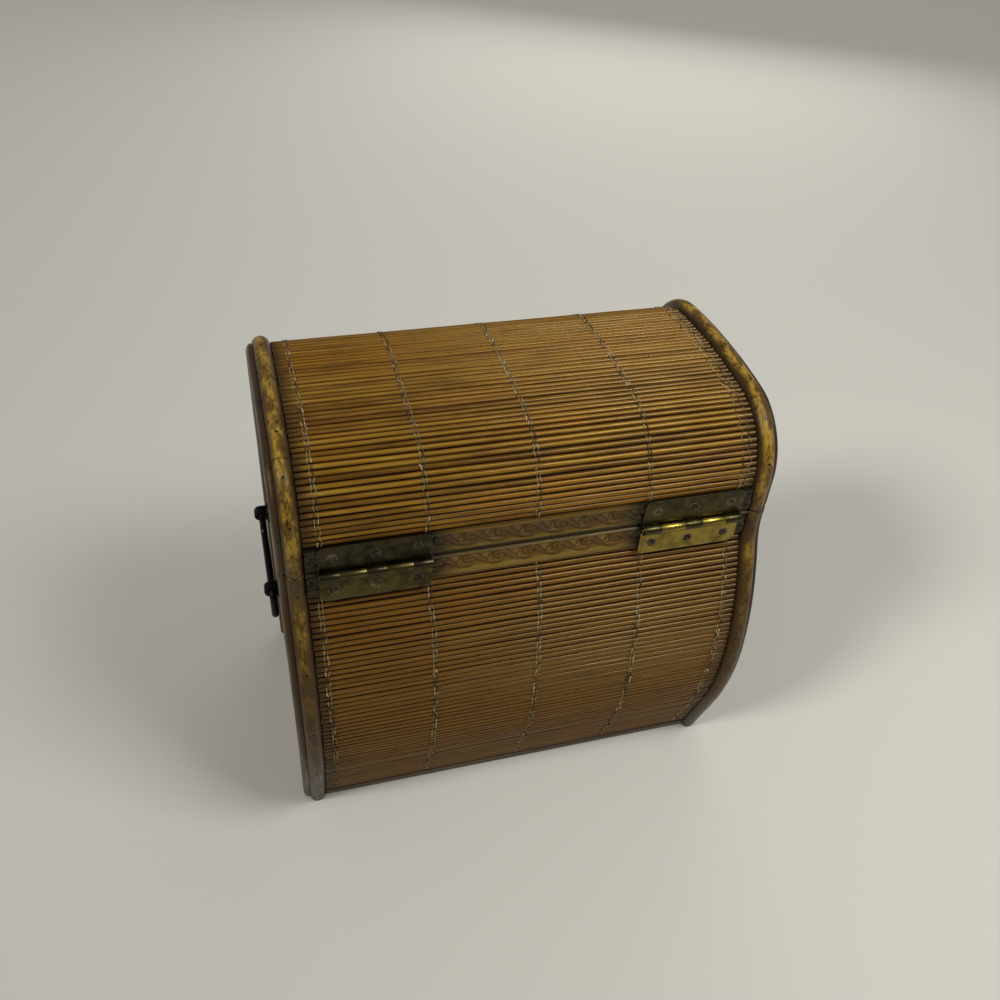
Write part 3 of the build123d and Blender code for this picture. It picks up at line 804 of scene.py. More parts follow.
@dataclass(frozen=True)
class CarvedFinish:
    """Carved rail: a honey ground, brown raised scrolls, dirt and painted shade in the hollows beside them,
    and painted shade towards its ends and on its bevel.
    """

    name: str
    ground: Colour = (0.190, 0.120, 0.016)
    raised: Colour = (0.082, 0.030, 0.004)
    # Partly dirt, partly painted shade: the colour of the hollows beside the raised lines.
    dirt: Colour = (0.010, 0.007, 0.004)
    shaded: Colour = (0.009, 0.007, 0.005)
    dark_from: float = 44.0 * MM
    dark_to: float = 66.0 * MM
    grain_depth: float = 0.2 * MM
    fibre_length: float = 45.0
    fibre_fineness: float = 1600.0
    worn: Blotches = Blotches(95.0, (0.40, 0.68), 0.3)
    gloss: Gloss = Gloss(coat=0.05, coat_roughness=0.28, specular=0.45, tint=(1.0, 0.78, 0.42))

    def build(self, effects: Effects) -> bpy.types.Material:
        """Makes the material.

        Args:
            effects: The shared node groups.

        Returns:
            The new material.
        """
        material, tree, shader = new_material(self.name)
        spot = tree.place_on_object()
        relief, crease, plain = (tree.value(key) for key in ("relief", "crease", "plain"))
        fibres = group_outputs(tree, effects.streaks, Vector=spot, Length=self.fibre_length,
                               Fineness=self.fibre_fineness)
        ground = tree.mix(tree.remap(fibres["Fine"], 0.42, 0.7, 0.0, 0.35), self.ground, self.raised)
        raised = self.worn.over(tree, effects, spot, self.raised, self.ground)
        colour = tree.mix(tree.remap(relief, 0.05, 0.25), ground, raised)
        # Dirt and painted shade in the hollows beside the raised lines.
        colour = tree.fade(crease, 0.85, colour, self.dirt)
        side = tree.math("ABSOLUTE", tree.add("ShaderNodeSeparateXYZ", {0: spot}).outputs[0])
        wander = tree.math("MULTIPLY", tree.math("SUBTRACT", fibres["Broad"], 0.5), 0.02)
        uneven = tree.math("ADD", side, wander)
        colour = tree.mix(tree.remap(uneven, self.dark_from, self.dark_to), colour, self.shaded)
        colour = tree.fade(plain, 0.85, colour, self.shaded)
        tree.feed(shader.inputs["Base Color"], colour)
        tree.feed(shader.inputs["Roughness"], tree.remap(fibres["Broad"], 0.3, 0.7, 0.34, 0.55))
        set_bump(tree, shader, fibres["Fine"], 0.3, self.grain_depth)
        set_gloss(shader, self.gloss)
        return material


@dataclass(frozen=True)
class WoodFinish:
    """Plain stained wood with its grain along one axis."""

    name: str
    light: Colour
    dark: Colour
    turn: tuple[float, float, float] = (0.0, 0.0, 0.0)
    length: float = 14.0
    fineness: float = 700.0
    roughness: Row = (0.45, 0.7)
    grain_depth: float = 0.2 * MM
    stains: Blotches = Blotches(22.0, (0.45, 0.75), 0.5)
    gloss: Gloss = Gloss(coat=0.1, coat_roughness=0.4)

    def build(self, effects: Effects) -> bpy.types.Material:
        """Makes the material.

        Args:
            effects: The shared node groups.

        Returns:
            The new material.
        """
        material, tree, shader = new_material(self.name)
        spot = tree.place_on_object()
        turned = tree.add("ShaderNodeVectorRotate", {"Vector": spot, "Rotation": self.turn},
                          rotation_type="EULER_XYZ")
        fibres = group_outputs(tree, effects.streaks, Vector=turned.outputs[0], Length=self.length,
                               Fineness=self.fineness)
        grain = tree.blend(fibres["Broad"], fibres["Fine"], 0.6)
        colour = tree.mix(tree.remap(grain, 0.38, 0.62), self.light, self.dark)
        colour = self.stains.over(tree, effects, spot, colour, self.dark)
        tree.feed(shader.inputs["Base Color"], colour)
        tree.feed(shader.inputs["Roughness"], tree.remap(grain, 0.35, 0.65, *self.roughness))
        set_bump(tree, shader, fibres["Fine"], 0.25, self.grain_depth)
        set_gloss(shader, self.gloss)
        return material


@dataclass(frozen=True)
class MetalFinish:
    """Aged metal: a base colour, tarnish in blotches and bright rubbed edges."""

    name: str
    base: Colour
    tarnish: Colour
    rubbed: Colour
    tarnish_fineness: float = 120.0
    tarnish_range: Row = (0.42, 0.68)
    grit_fineness: float = 1500.0
    roughness: Row = (0.28, 0.50)
    wear: float = 1.0
    grit: float = 0.15
    grit_depth: float = 0.12 * MM
    edge_radius: float = 0.35 * MM
    gloss: Gloss = Gloss(metallic=1.0)

    def build(self, effects: Effects) -> bpy.types.Material:
        """Makes the material.

        Args:
            effects: The shared node groups.

        Returns:
            The new material.
        """
        material, tree, shader = new_material(self.name)
        spot = tree.place_on_object()
        blotch = Blotches(self.tarnish_fineness, self.tarnish_range).mask(tree, effects, spot)
        fine = tree.noise(spot, self.grit_fineness, 4.0)
        colour = tree.mix(blotch, self.base, self.tarnish)
        colour = tree.mix(tree.remap(fine, 0.5, 0.75, 0.0, 0.35), colour, self.tarnish)
        worn = group_outputs(tree, effects.wear, Vector=spot, Radius=self.edge_radius,
                             Amount=self.wear)["Mask"]
        colour = tree.mix(worn, colour, self.rubbed)
        tree.feed(shader.inputs["Base Color"], colour)
        rough = tree.blend(blotch, fine, 0.6)
        tree.feed(shader.inputs["Roughness"], tree.remap(rough, 0.1, 0.8, *self.roughness))
        set_bump(tree, shader, fine, self.grit, self.grit_depth)
        set_gloss(shader, self.gloss)
        return material


@dataclass(frozen=True)
class ThreadFinish:
    """Pale twisted thread, soiled here and there."""

    name: str = "stitch_thread"
    pale: Colour = (0.50, 0.40, 0.21)
    soiled: Colour = (0.045, 0.034, 0.018)
    fray_depth: float = 0.15 * MM
    fray_fineness: float = 3500.0
    soil: Blotches = Blotches(150.0, (0.42, 0.60), 0.7)
    gloss: Gloss = Gloss(specular=0.2)

    def build(self, effects: Effects) -> bpy.types.Material:
        """Makes the material.

        Args:
            effects: The shared node groups.

        Returns:
            The new material.
        """
        material, tree, shader = new_material(self.name)
        spot = tree.place_on_object()
        soil = tree.math("MULTIPLY", self.soil.mask(tree, effects, spot), self.soil.share)
        fray = tree.noise(spot, self.fray_fineness, 2.0)
        dirty = tree.math("MAXIMUM", soil, tree.value("dirt"))
        colour = tree.mix(dirty, self.pale, self.soiled)
        tree.feed(shader.inputs["Base Color"], colour)
        tree.feed(shader.inputs["Roughness"], tree.remap(fray, 0.3, 0.7, 0.7, 0.95))
        set_bump(tree, shader, fray, 0.5, self.fray_depth)
        set_gloss(shader, self.gloss)
        return material


class Finishes:
    """Every material of the trunk, by the part that it is on."""

    def __init__(self) -> None:
        """Builds the shared effects and then the materials."""
        effects = Effects()
        self.reed = ReedFinish().build(effects)
        # The end mats' reeds take the same painted shade beside the end poles.
        self.end_reed = ReedFinish(name="end_split_reed", axis_along=1, pole_shade_start=70.0 * MM,
                                   pole_shade_stop=98.0 * MM).build(effects)
        self.thread = ThreadFinish().build(effects)
        self.pole = PoleFinish().build(effects)
        self.end_pole = PoleFinish(name="end_pole", gold=(0.105, 0.062, 0.018), brown=(0.034, 0.019, 0.008),
                                   gold_width=0.45).build(effects)
        self.body_rail = CarvedFinish("body_rail_carving").build(effects)
        self.lid_rail = CarvedFinish("lid_rail_carving", ground=(0.125, 0.075, 0.014),
                                     raised=(0.058, 0.027, 0.008)).build(effects)
        self.front_rail = CarvedFinish("front_rail_carving", dark_from=122.0 * MM,
                                       dark_to=136.0 * MM).build(effects)
        self.strip = WoodFinish("floor_strip", (0.085, 0.042, 0.010), (0.020, 0.011, 0.005)).build(effects)
        # Painted shade: a near-black wood for the faces under the matting, seen only through the gaps between
        # the reeds.
        self.shade_backing = WoodFinish("painted_shade_backing", (0.022, 0.012, 0.006), (0.009, 0.005, 0.003)).build(effects)
        self.inside = WoodFinish("inside_ply", (0.34, 0.20, 0.095), (0.20, 0.105, 0.045)).build(effects)
        self.board = WoodFinish("end_board", (0.28, 0.16, 0.075), (0.15, 0.08, 0.035),
                                turn=(0.0, 0.0, math.pi / 2)).build(effects)
        # Painted light: a lighter copy of the olive brass, for the left-hand hinge.
        self.lit_brass = MetalFinish("lit_brass", (0.27, 0.20, 0.040), (0.155, 0.115, 0.026),
                                        (0.80, 0.66, 0.26), roughness=(0.24, 0.42)).build(effects)
        self.olive_brass = MetalFinish("olive_brass", (0.095, 0.075, 0.024), (0.045, 0.036, 0.014),
                                       (0.36, 0.30, 0.12)).build(effects)
        self.bronze = MetalFinish("bronzed_brass", (0.066, 0.054, 0.022), (0.040, 0.034, 0.017),
                                  (0.34, 0.29, 0.13)).build(effects)
        # Painted shade: a darker copy of the bronze, for the right-hand hinge's lid leaf.
        self.shaded_bronze = MetalFinish("shaded_bronze", (0.052, 0.043, 0.022), (0.026, 0.022, 0.013),
                                       (0.16, 0.14, 0.07)).build(effects)
        self.screw = MetalFinish("tarnished_screw", (0.14, 0.12, 0.07), (0.030, 0.025, 0.017),
                                 (0.50, 0.44, 0.30), tarnish_range=(0.36, 0.58)).build(effects)
        self.iron = MetalFinish("black_iron", (0.020, 0.020, 0.021), (0.012, 0.011, 0.011),
                                (0.10, 0.10, 0.10), roughness=(0.30, 0.48), wear=0.7, grit=0.3).build(effects)
        self.nail = MetalFinish("nail_steel", (0.035, 0.030, 0.026), (0.016, 0.012, 0.010),
                                (0.10, 0.09, 0.08)).build(effects)


# Matting


@dataclass(frozen=True)
class ReedShape:
    """One split reed: flat on its back, round on its face."""

    pitch: float = 3.85 * MM
    depth: float = 2.9 * MM
    wall: float = 0.8 * MM
    slack: float = 0.36 * MM
    wander: float = 0.30 * MM
    fine_wander: float = 0.06 * MM
    trim: float = 0.5 * MM
    foot_share: float = 0.96
    arc_points: int = 7
    station_gap: float = 5.0 * MM

    def section(self) -> np.ndarray:
        """Outline of a reed for a half-width and a height of one.

        Returns:
            Rows of (across, up), with up from 0 to 1.
        """
        low = self.wall / self.depth
        turn = np.linspace(math.pi, 0.0, self.arc_points + 2)
        arc = np.stack([np.cos(turn), low + (1 - low) * np.sin(turn)], axis=-1)
        return np.concatenate([[[-self.foot_share, 0.0]], arc, [[self.foot_share, 0.0]]])


class ReedMat:
    """Rows of split reeds laid along a side line, with the thread rows that hold them."""

    row_drift: float = 0.5 * MM
    thread_lift: float = 0.05 * MM
    thread_radius: Row = (0.20 * MM, 0.36 * MM)
    thread_sides: int = 6

    def __init__(self, shape: ReedShape, finishes: Finishes, rng: np.random.Generator) -> None:
        """Keeps what the reeds are made from.

        Args:
            shape: Sizes of one reed.
            finishes: Every material.
            rng: Source of the reeds' unevenness.
        """
        self.shape = shape
        self.finishes = finishes
        self.rng = rng

    def _reed(self, data: MeshData, chain: Chain, centre: float, half: float, wide: float) -> None:
        """Adds one reed across the line.

        Args:
            data: Mesh that takes it.
            chain: Side line of the matting's face.
            centre: Length along the line at which it lies.
            half: Half of its length.
            wide: Room that it has between its neighbours.
        """
        shape, rng = self.shape, self.rng
        count = int(2 * half / shape.station_gap) + 1
        trim = rng.uniform(0.0, shape.trim, 2)
        x = np.linspace(-half + trim[0], half - trim[1], count)
        shift = shape.wander * wave(x, rng, 0.34) + shape.fine_wander * wave(x, rng, 0.05)
        width = (wide - shape.slack * rng.uniform(0.4, 1.6)) / 2 * (1 + 0.05 * wave(x, rng, 0.12))
        height = shape.depth * (rng.uniform(0.86, 1.0) + 0.03 * wave(x, rng, 0.09) - 0.03)
        section = shape.section()
        point, normal = chain.at(centre + shift)
        tangent = np.stack([-normal[:, 1], normal[:, 0]], axis=-1)
        seat = point - shape.depth * normal
        across = section[None, :, 0] * width[:, None]
        up = section[None, :, 1] * height[:, None]
        flat = seat[:, None, :] + across[..., None] * tangent[:, None, :] + up[..., None] * normal[:, None, :]
        xs = np.broadcast_to(x[:, None, None], (count, len(section), 1))
        points = np.concatenate([xs, flat], axis=-1).reshape(-1, 3)
        tone = np.full(len(points), float(np.clip(rng.normal(0.5, 0.16), 0.0, 1.0)))
        data.add(points, tube_faces(count, len(section)), tone=tone, crest=np.tile(section[:, 1], count))

    def rows(self, chain: Chain, low: float, high: float) -> np.ndarray:
        """Lengths of the reeds' centres between two lengths of the line."""
        count = round((high - low) / self.shape.pitch)
        return low + (np.arange(count) + 0.5) * (high - low) / count

    def reeds(self, name: str, chain: Chain, low: float, high: float, half: float) -> bpy.types.Object:
        """Makes the reeds of one mat.

        Args:
            name: Name of the piece.
            chain: Side line of the matting's face.
            low: Length along it at which the mat starts.
            high: Length at which it ends.
            half: Half of the reeds' length.

        Returns:
            The piece.
        """
        data = MeshData()
        centres = self.rows(chain, low, high)
        wide = (high - low) / len(centres)
        for centre in centres:
            self._reed(data, chain, centre, half, wide)
        return data.build(name, [self.finishes.reed], 50.0)

    def stitches(self, name: str, chain: Chain, low: float, high: float,
                 rows: Sequence[Row]) -> bpy.types.Object:
        """Makes the thread rows of one mat.

        Args:
            name: Name of the piece.
            chain: Side line of the matting's face.
            low: Length along it at which the mat starts.
            high: Length at which it ends.
            rows: Place of each row along the trunk, and the width of its stitches.

        Returns:
            The piece.
        """
        data = MeshData()
        centres = self.rows(chain, low, high)
        wide = (high - low) / len(centres)
        for row_x, width in rows:
            drift = self.row_drift * wave(centres, self.rng, 0.12)
            for index, centre in enumerate(centres):
                for side in (-1, 1):
                    lean = width * self.rng.uniform(-0.75, 0.35) * side * (1 if index % 2 else -1)
                    offset = side * width * self.rng.uniform(0.35, 0.65)
                    self._stitch(data, chain, row_x + drift[index] + offset, centre, wide, lean)
        return data.build(name, [self.finishes.thread], 60.0)

    def _stitch(self, data: MeshData, chain: Chain, x: float, centre: float, wide: float,
                lean: float) -> None:
        """Adds one thread over one reed, from the gap before it to the gap after it.

        Args:
            data: Mesh that takes it.
            chain: Side line of the matting's face.
            x: Place of its middle along the trunk.
            centre: Length along the line at which the reed lies.
            wide: Room of the reed.
            lean: How far the thread runs along the trunk as it crosses.
        """
        turn = np.linspace(self.rng.uniform(0.10, 0.30), self.rng.uniform(0.70, 0.90), 7) * math.pi
        along = centre - np.cos(turn) * wide * 0.5
        lift = (np.sin(turn) - 1.0) * (self.shape.depth - self.shape.wall) + self.thread_lift
        point, normal = chain.at(along)
        line = point + lift[:, None] * normal
        spine = np.column_stack([x + lean * np.linspace(-0.5, 0.5, len(turn)), line])
        thick = self.rng.uniform(*self.thread_radius)
        dirt = np.full(len(turn), float(np.clip(self.rng.normal(0.66, 0.36), 0.0, 1.0)))
        add_tube(data, spine, thick, self.thread_sides, dirt=dirt)


def add_tube(data: MeshData, spine: np.ndarray, radius: float, sides: int, **values: np.ndarray) -> None:
    """Adds a round tube along a line of points.

    Args:
        data: Mesh that takes it.
        spine: Points of its centre line.
        radius: Its radius.
        sides: Number of its sides.
        **values: Point values of the centre line, by name.
    """
    tangent = np.gradient(spine, axis=0)
    tangent /= np.linalg.norm(tangent, axis=1, keepdims=True)
    aside = np.cross(tangent, [1.0, 0.13, 0.07])
    aside /= np.linalg.norm(aside, axis=1, keepdims=True)
    other = np.cross(tangent, aside)
    turn = np.arange(sides) / sides * 2 * math.pi
    ring = np.cos(turn)[None, :, None] * aside[:, None, :]
    ring = ring + np.sin(turn)[None, :, None] * other[:, None, :]
    points = (spine[:, None, :] + radius * ring).reshape(-1, 3)
    spread = {name: np.repeat(numbers, sides) for name, numbers in values.items()}
    data.add(points, tube_faces(len(spine), sides), **spread)


@dataclass
class Matting:
    """The reed mats of the back, the front and the lid."""

    profile: SideProfile
    finishes: Finishes
    shape: ReedShape = field(default_factory=ReedShape)
    half_length: float = 134.8 * MM
    stitch_width: float = 1.9 * MM
    wide_stitch: float = 4.4 * MM
    edge: float = 0.05 * MM
    lid_rows: tuple[float, ...] = (125.7 * MM, 66.0 * MM, 1.2 * MM, -66.7 * MM, -127.4 * MM)
    body_rows: tuple[float, ...] = (128.1 * MM, 64.0 * MM, -1.8 * MM, -67.0 * MM, -125.7 * MM)

    def build(self) -> None:
        """Makes every mat with its stitches."""
        low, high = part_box("back_reed_mat")
        wall = self.profile.wall(0.0, self.profile.body_top)
        span = (wall.where(low.z) + self.edge, wall.where(high.z) - self.edge)
        body_rows = [(x, self.stitch_width) for x in self.body_rows]
        for side, chain in (("back", wall), ("front", wall.on_front())):
            mat = ReedMat(self.shape, self.finishes, np.random.default_rng(SEED + len(side)))
            reeds = mat.reeds(f"{side}_reeds", chain, *span, self.half_length)
            place(reeds, "trunk", [f"{side}_reed_mat"])
            place(mat.stitches(f"{side}_stitches", chain, *span, body_rows), "trunk", [])
        low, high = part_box("lid_reed_mat")
        chain = self.profile.lid(low.z)
        mat = ReedMat(self.shape, self.finishes, np.random.default_rng(SEED))
        span = (self.edge, chain.length - self.edge)
        lid_rows = [(x, self.stitch_width) for x in self.lid_rows[:-1]]
        lid_rows.append((self.lid_rows[-1], self.wide_stitch))
        place(mat.reeds("lid_reeds", chain, *span, self.half_length), "lid", ["lid_reed_mat"])
        place(mat.stitches("lid_stitches", chain, *span, lid_rows), "lid", [])


@dataclass
class EndMatting:
    """The thinner mats inside the end poles, with their reeds level."""

    profile: SideProfile
    finishes: Finishes
    pitch: float = 3.85 * MM
    thickness: float = 2.05 * MM
    inset: float = 11.3 * MM
    seat_x: float = 146.0 * MM
    section_points: int = 9
    stations: int = 24
    slack: float = 0.3 * MM
    wander: float = 0.2 * MM
    least_half_width: float = 0.5 * MM
    foot_share: float = 0.96
    margin: float = 0.02 * MM

    def _half_width(self, chain: Chain, heights: np.ndarray) -> np.ndarray:
        """Half-width between the end poles.

        Args:
            chain: Side line of the back.
            heights: Heights at which it is wanted.

        Returns:
            The half-width at each height.
        """
        inner = chain.points - self.inset * chain.normals
        order = np.argsort(inner[:, 1])
        return np.interp(heights, inner[order, 1], inner[order, 0])

    def _mat(self, name: str, chain: Chain, low: float, high: float, sign: int) -> bpy.types.Object:
        """Makes one end's mat.

        Args:
            name: Name of the piece.
            chain: Side line of the back.
            low: Height at which it starts.
            high: Height at which it ends.
            sign: 1 on the right-hand end and -1 on the left.

        Returns:
            The piece.
        """
        rng = np.random.default_rng(SEED + len(name))
        data = MeshData()
        count = round((high - low) / self.pitch)
        pitch = (high - low) / count
        turn = np.linspace(math.pi, 0.0, self.section_points)
        arc = np.stack([np.cos(turn), 0.3 + 0.7 * np.sin(turn)], -1)
        section = np.concatenate([[[-self.foot_share, 0.0]], arc, [[self.foot_share, 0.0]]])
        for index in range(count):
            centre = low + (index + 0.5) * pitch
            share = np.linspace(-1.0, 1.0, self.stations)
            shift = self.wander * wave(share, rng, 2.2)
            width = (pitch - self.slack) / 2 * (1 + 0.04 * wave(share, rng, 1.1))
            height = self.thickness * rng.uniform(0.88, 1.0)
            z = centre + shift[:, None] + section[None, :, 0] * width[:, None]
            z = np.clip(z, low + self.margin, high - self.margin)
            y = share[:, None] * np.maximum(self._half_width(chain, z), self.least_half_width)
            x = np.broadcast_to(sign * (self.seat_x + section[None, :, 1] * height), z.shape)
            points = np.stack([x, y, z], axis=-1).reshape(-1, 3)
            tone = np.full(len(points), float(np.clip(rng.normal(0.5, 0.2), 0.0, 1.0)))
            crest = np.tile(section[:, 1], len(share))
            data.add(points, tube_faces(len(share), len(section)), tone=tone, crest=crest)
        return data.build(name, [self.finishes.end_reed], 50.0)

    def build(self) -> None:
        """Makes the mats of both ends, on the body and on the lid."""
        wall = self.profile.wall(0.0, self.profile.body_top)
        lid = self.profile.lid(self.profile.lid_bottom)
        half = len(lid.points) // 2
        back = Chain(lid.points[:half], lid.normals[:half])
        for side, sign in (("right", 1), ("left", -1)):
            low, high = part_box(f"{side}_end_reed_mat")
            mat = self._mat(f"{side}_end_reeds", wall, low.z, high.z, sign)
            place(mat, "trunk", [f"{side}_end_reed_mat"])
            low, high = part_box(f"{side}_lid_end_reed_mat")
            mat = self._mat(f"{side}_lid_end_reeds", back, low.z, high.z, sign)
            place(mat, "lid", [f"{side}_lid_end_reed_mat"])


# Poles


class PoleFacing(Enum):
    """Which face of the trunk a pole lies on."""

    WALL = "wall"
    END = "end"


@dataclass
class Pole:
    """Half-round rattan pole bent round a side line, with knots and a softened end."""

    name: str
    chain: Chain
    facing: PoleFacing
    sign: int
    finishes: Finishes
    seed: int
    knots: Sequence[float] = ()
    station: float = 140.5 * MM
    face_x: float = 146.0 * MM
    seat_depth: float = 2.9 * MM
    end_centre_depth: float = 5.5 * MM
    half_width: float = 5.5 * MM
    side_gap: float = 0.08 * MM
    wall_height: float = 7.1 * MM
    wall_foot: float = 1.7 * MM
    end_height: float = 3.9 * MM
    end_foot: float = 0.8 * MM
    step: float = 2.0 * MM
    tip: float = 1.6 * MM
    tip_shrink: float = 0.22
    knot_swell: float = 0.045
    knot_length: float = 1.3 * MM
    arc_points: int = 15
    floor_gap: float = 0.05 * MM

    @property
    def height(self) -> float:
        """Height of the crest over its seat."""
        return self.wall_height if self.facing is PoleFacing.WALL else self.end_height

    def _section(self) -> np.ndarray:
        """Outline of the pole.

        Returns:
            Rows of (across, up) in metres.
        """
        foot = self.wall_foot if self.facing is PoleFacing.WALL else self.end_foot
        half = self.half_width - self.side_gap
        turn = np.linspace(math.pi, 0.0, self.arc_points)
        arc = np.stack([half * np.cos(turn), foot + (self.height - foot) * np.sin(turn)], axis=-1)
        return np.concatenate([[[-half, 0.0]], arc, [[half, 0.0]]])

    def _along(self) -> np.ndarray:
        """Stations along the pole, close together at its ends and knots.

        Returns:
            Their lengths along the line.
        """
        length = self.chain.length
        ends = self.tip * (1 - np.cos(np.linspace(0, math.pi / 2, 6)))
        inner = np.arange(self.tip + self.step, length - self.tip - self.step / 2, self.step)
        extra = [k + d for k in self.knots for d in np.linspace(-2.4, 2.4, 9) * self.knot_length]
        along = np.concatenate([ends, inner, extra, length - ends])
        return np.unique(np.round(np.clip(along, 0.0, length), 6))

    def build(self, body: str, node: str) -> bpy.types.Object:
        """Makes the pole.

        Args:
            body: Body that it moves with.
            node: Node that it stands for.

        Returns:
            The piece.
        """
        rng = np.random.default_rng(self.seed)
        along = self._along()
        section = self._section()
        length = self.chain.length
        swell = 1.0 + 0.012 * wave(along, rng, 0.11)
        knot = np.zeros_like(along)
        for place_along in self.knots:
            bulge = np.exp(-(((along - place_along) / self.knot_length) ** 2))
            swell += self.knot_swell * bulge
            knot = np.maximum(knot, np.exp(-(((along - place_along) / (0.5 * self.knot_length)) ** 2)))
        near = np.clip(np.minimum(along, length - along) / self.tip, 0.0, 1.0)
        round_off = 1.0 - self.tip_shrink * (1.0 - np.sqrt(1.0 - (1.0 - near) ** 2))
        scale = np.minimum(swell, 1.014) * round_off
        across = section[None, :, 0] * scale[:, None]
        up = section[None, :, 1] * scale[:, None]
        point, normal = self.chain.at(along)
        if self.facing is PoleFacing.WALL:
            x = self.station + across
            flat = point[:, None, :] + (up - self.seat_depth)[..., None] * normal[:, None, :]
        else:
            x = self.face_x + up
            flat = point[:, None, :] + (across - self.end_centre_depth)[..., None] * normal[:, None, :]
        points = np.concatenate([self.sign * x[..., None], flat], axis=-1)
        if "lid" not in node:
            points[..., 2] = np.maximum(points[..., 2], self.floor_gap)
        count = len(section)
        data = MeshData()
        data.add(points.reshape(-1, 3), tube_faces(len(along), count),
                 across=np.tile(section[:, 0] / self.half_width, len(along)),
                 along=np.repeat(along + 0.37 * self.seed, count), knot=np.repeat(knot, count))
        material = self.finishes.pole if self.facing is PoleFacing.WALL else self.finishes.end_pole
        return place(data.build(self.name, [material], 45.0), body, [node])


@dataclass
class Poles:
    """All the poles, and the nails that hold the main ones."""

    profile: SideProfile
    finishes: Finishes
    body_knot: float = 105.0 * MM
    body_knot_shift: float = 13.0 * MM
    lid_knots: Row = (50.0 * MM, 205.0 * MM)
    lid_knot_shift: float = 4.0 * MM
    nail_radius: float = 0.85 * MM
    nail_heights: tuple[float, ...] = (14.0 * MM, 62.0 * MM, 110.0 * MM, 158.0 * MM, 208.0 * MM)
    lid_nail_height: float = 232.0 * MM
    lid_nail_places: tuple[float, ...] = (34.5 * MM, 60.2 * MM, 86.5 * MM)
    nail_rises: tuple[float, ...] = (-2.2 * MM, -0.1 * MM, 0.08 * MM, 0.14 * MM)
    nail_widths: tuple[float, ...] = (0.5, 1.0, 0.86, 0.4)
    crest: float = 4.2 * MM
    pole_x: float = 140.5 * MM

    def build(self) -> None:
        """Makes the poles of the body and of the lid, and their nails."""
        wall = self.profile.wall(0.0, self.profile.body_top)
        lid = self.profile.lid(self.profile.lid_bottom)
        seed = 0
        for face, chain in (("back", wall), ("front", wall.on_front())):
            for side, sign in (("right", 1), ("left", -1)):
                seed += 1
                knots = (self.body_knot + self.body_knot_shift * seed,)
                for kind, facing in (("pole", PoleFacing.WALL), ("end_pole", PoleFacing.END)):
                    node = f"{face}_{side}_{kind}"
                    shape = Pole(f"{node}_bent", chain, facing, sign, self.finishes, seed, knots)
                    shape.build("trunk", node)
        for side, sign in (("right", 1), ("left", -1)):
            seed += 1
            knots = (self.lid_knots[0] + self.lid_knot_shift * seed, self.lid_knots[1])
            for kind, facing in (("pole", PoleFacing.WALL), ("end_pole", PoleFacing.END)):
                node = f"{side}_lid_{kind}"
                Pole(f"{node}_bent", lid, facing, sign, self.finishes, seed, knots).build("lid", node)
        self._nails(wall, lid)

    def _nail(self, data: MeshData, x: float, point: np.ndarray, normal: np.ndarray) -> None:
        """Adds one nail with a low domed head, just proud of the pole's crest.

        Args:
            data: Mesh that takes it.
            x: Its place along the trunk.
            point: Place on the side line under it, as (y, z).
            normal: Outward normal there.
        """
        turn = np.arange(12) / 12 * 2 * math.pi
        tangent = np.array([0.0, -normal[1], normal[0]])
        outward = np.array([0.0, normal[0], normal[1]])
        centre = np.array([x, point[0], point[1]]) + self.crest * outward
        ring = np.cos(turn)[:, None] * np.array([1.0, 0.0, 0.0]) + np.sin(turn)[:, None] * tangent
        points = [centre + rise * outward + width * self.nail_radius * ring
                  for rise, width in zip(self.nail_rises, self.nail_widths)]
        data.add(np.concatenate(points), tube_faces(len(points), len(turn)))

    def _nails(self, wall: Chain, lid: Chain) -> None:
        """Makes the nails of the body's poles and of the lid's.

        Args:
            wall: Side line of the back wall.
            lid: Side line of the lid.
        """
        body_data, lid_data = MeshData(), MeshData()
        lid_places = [lid.where(self.lid_nail_height), *self.lid_nail_places]
        lid_places += [lid.length - s for s in lid_places]
        for sign in (1, -1):
            for chain in (wall, wall.on_front()):
                for height in self.nail_heights:
                    point, normal = wall.at(np.array([wall.where(height)]))
                    flip = np.array([1.0, 1.0]) if chain is wall else np.array([-1.0, 1.0])
                    self._nail(body_data, sign * self.pole_x, point[0] * flip, normal[0] * flip)
            for along in lid_places:
                point, normal = lid.at(np.array([along]))
                self._nail(lid_data, sign * self.pole_x, point[0], normal[0])
        for name, data, body in (("body", body_data, "trunk"), ("lid", lid_data, "lid")):
            nails = data.build(f"{name}_pole_nails", [self.finishes.nail])
            place(nails, body, [f"{name}_pole_brads"])


# Carved rails


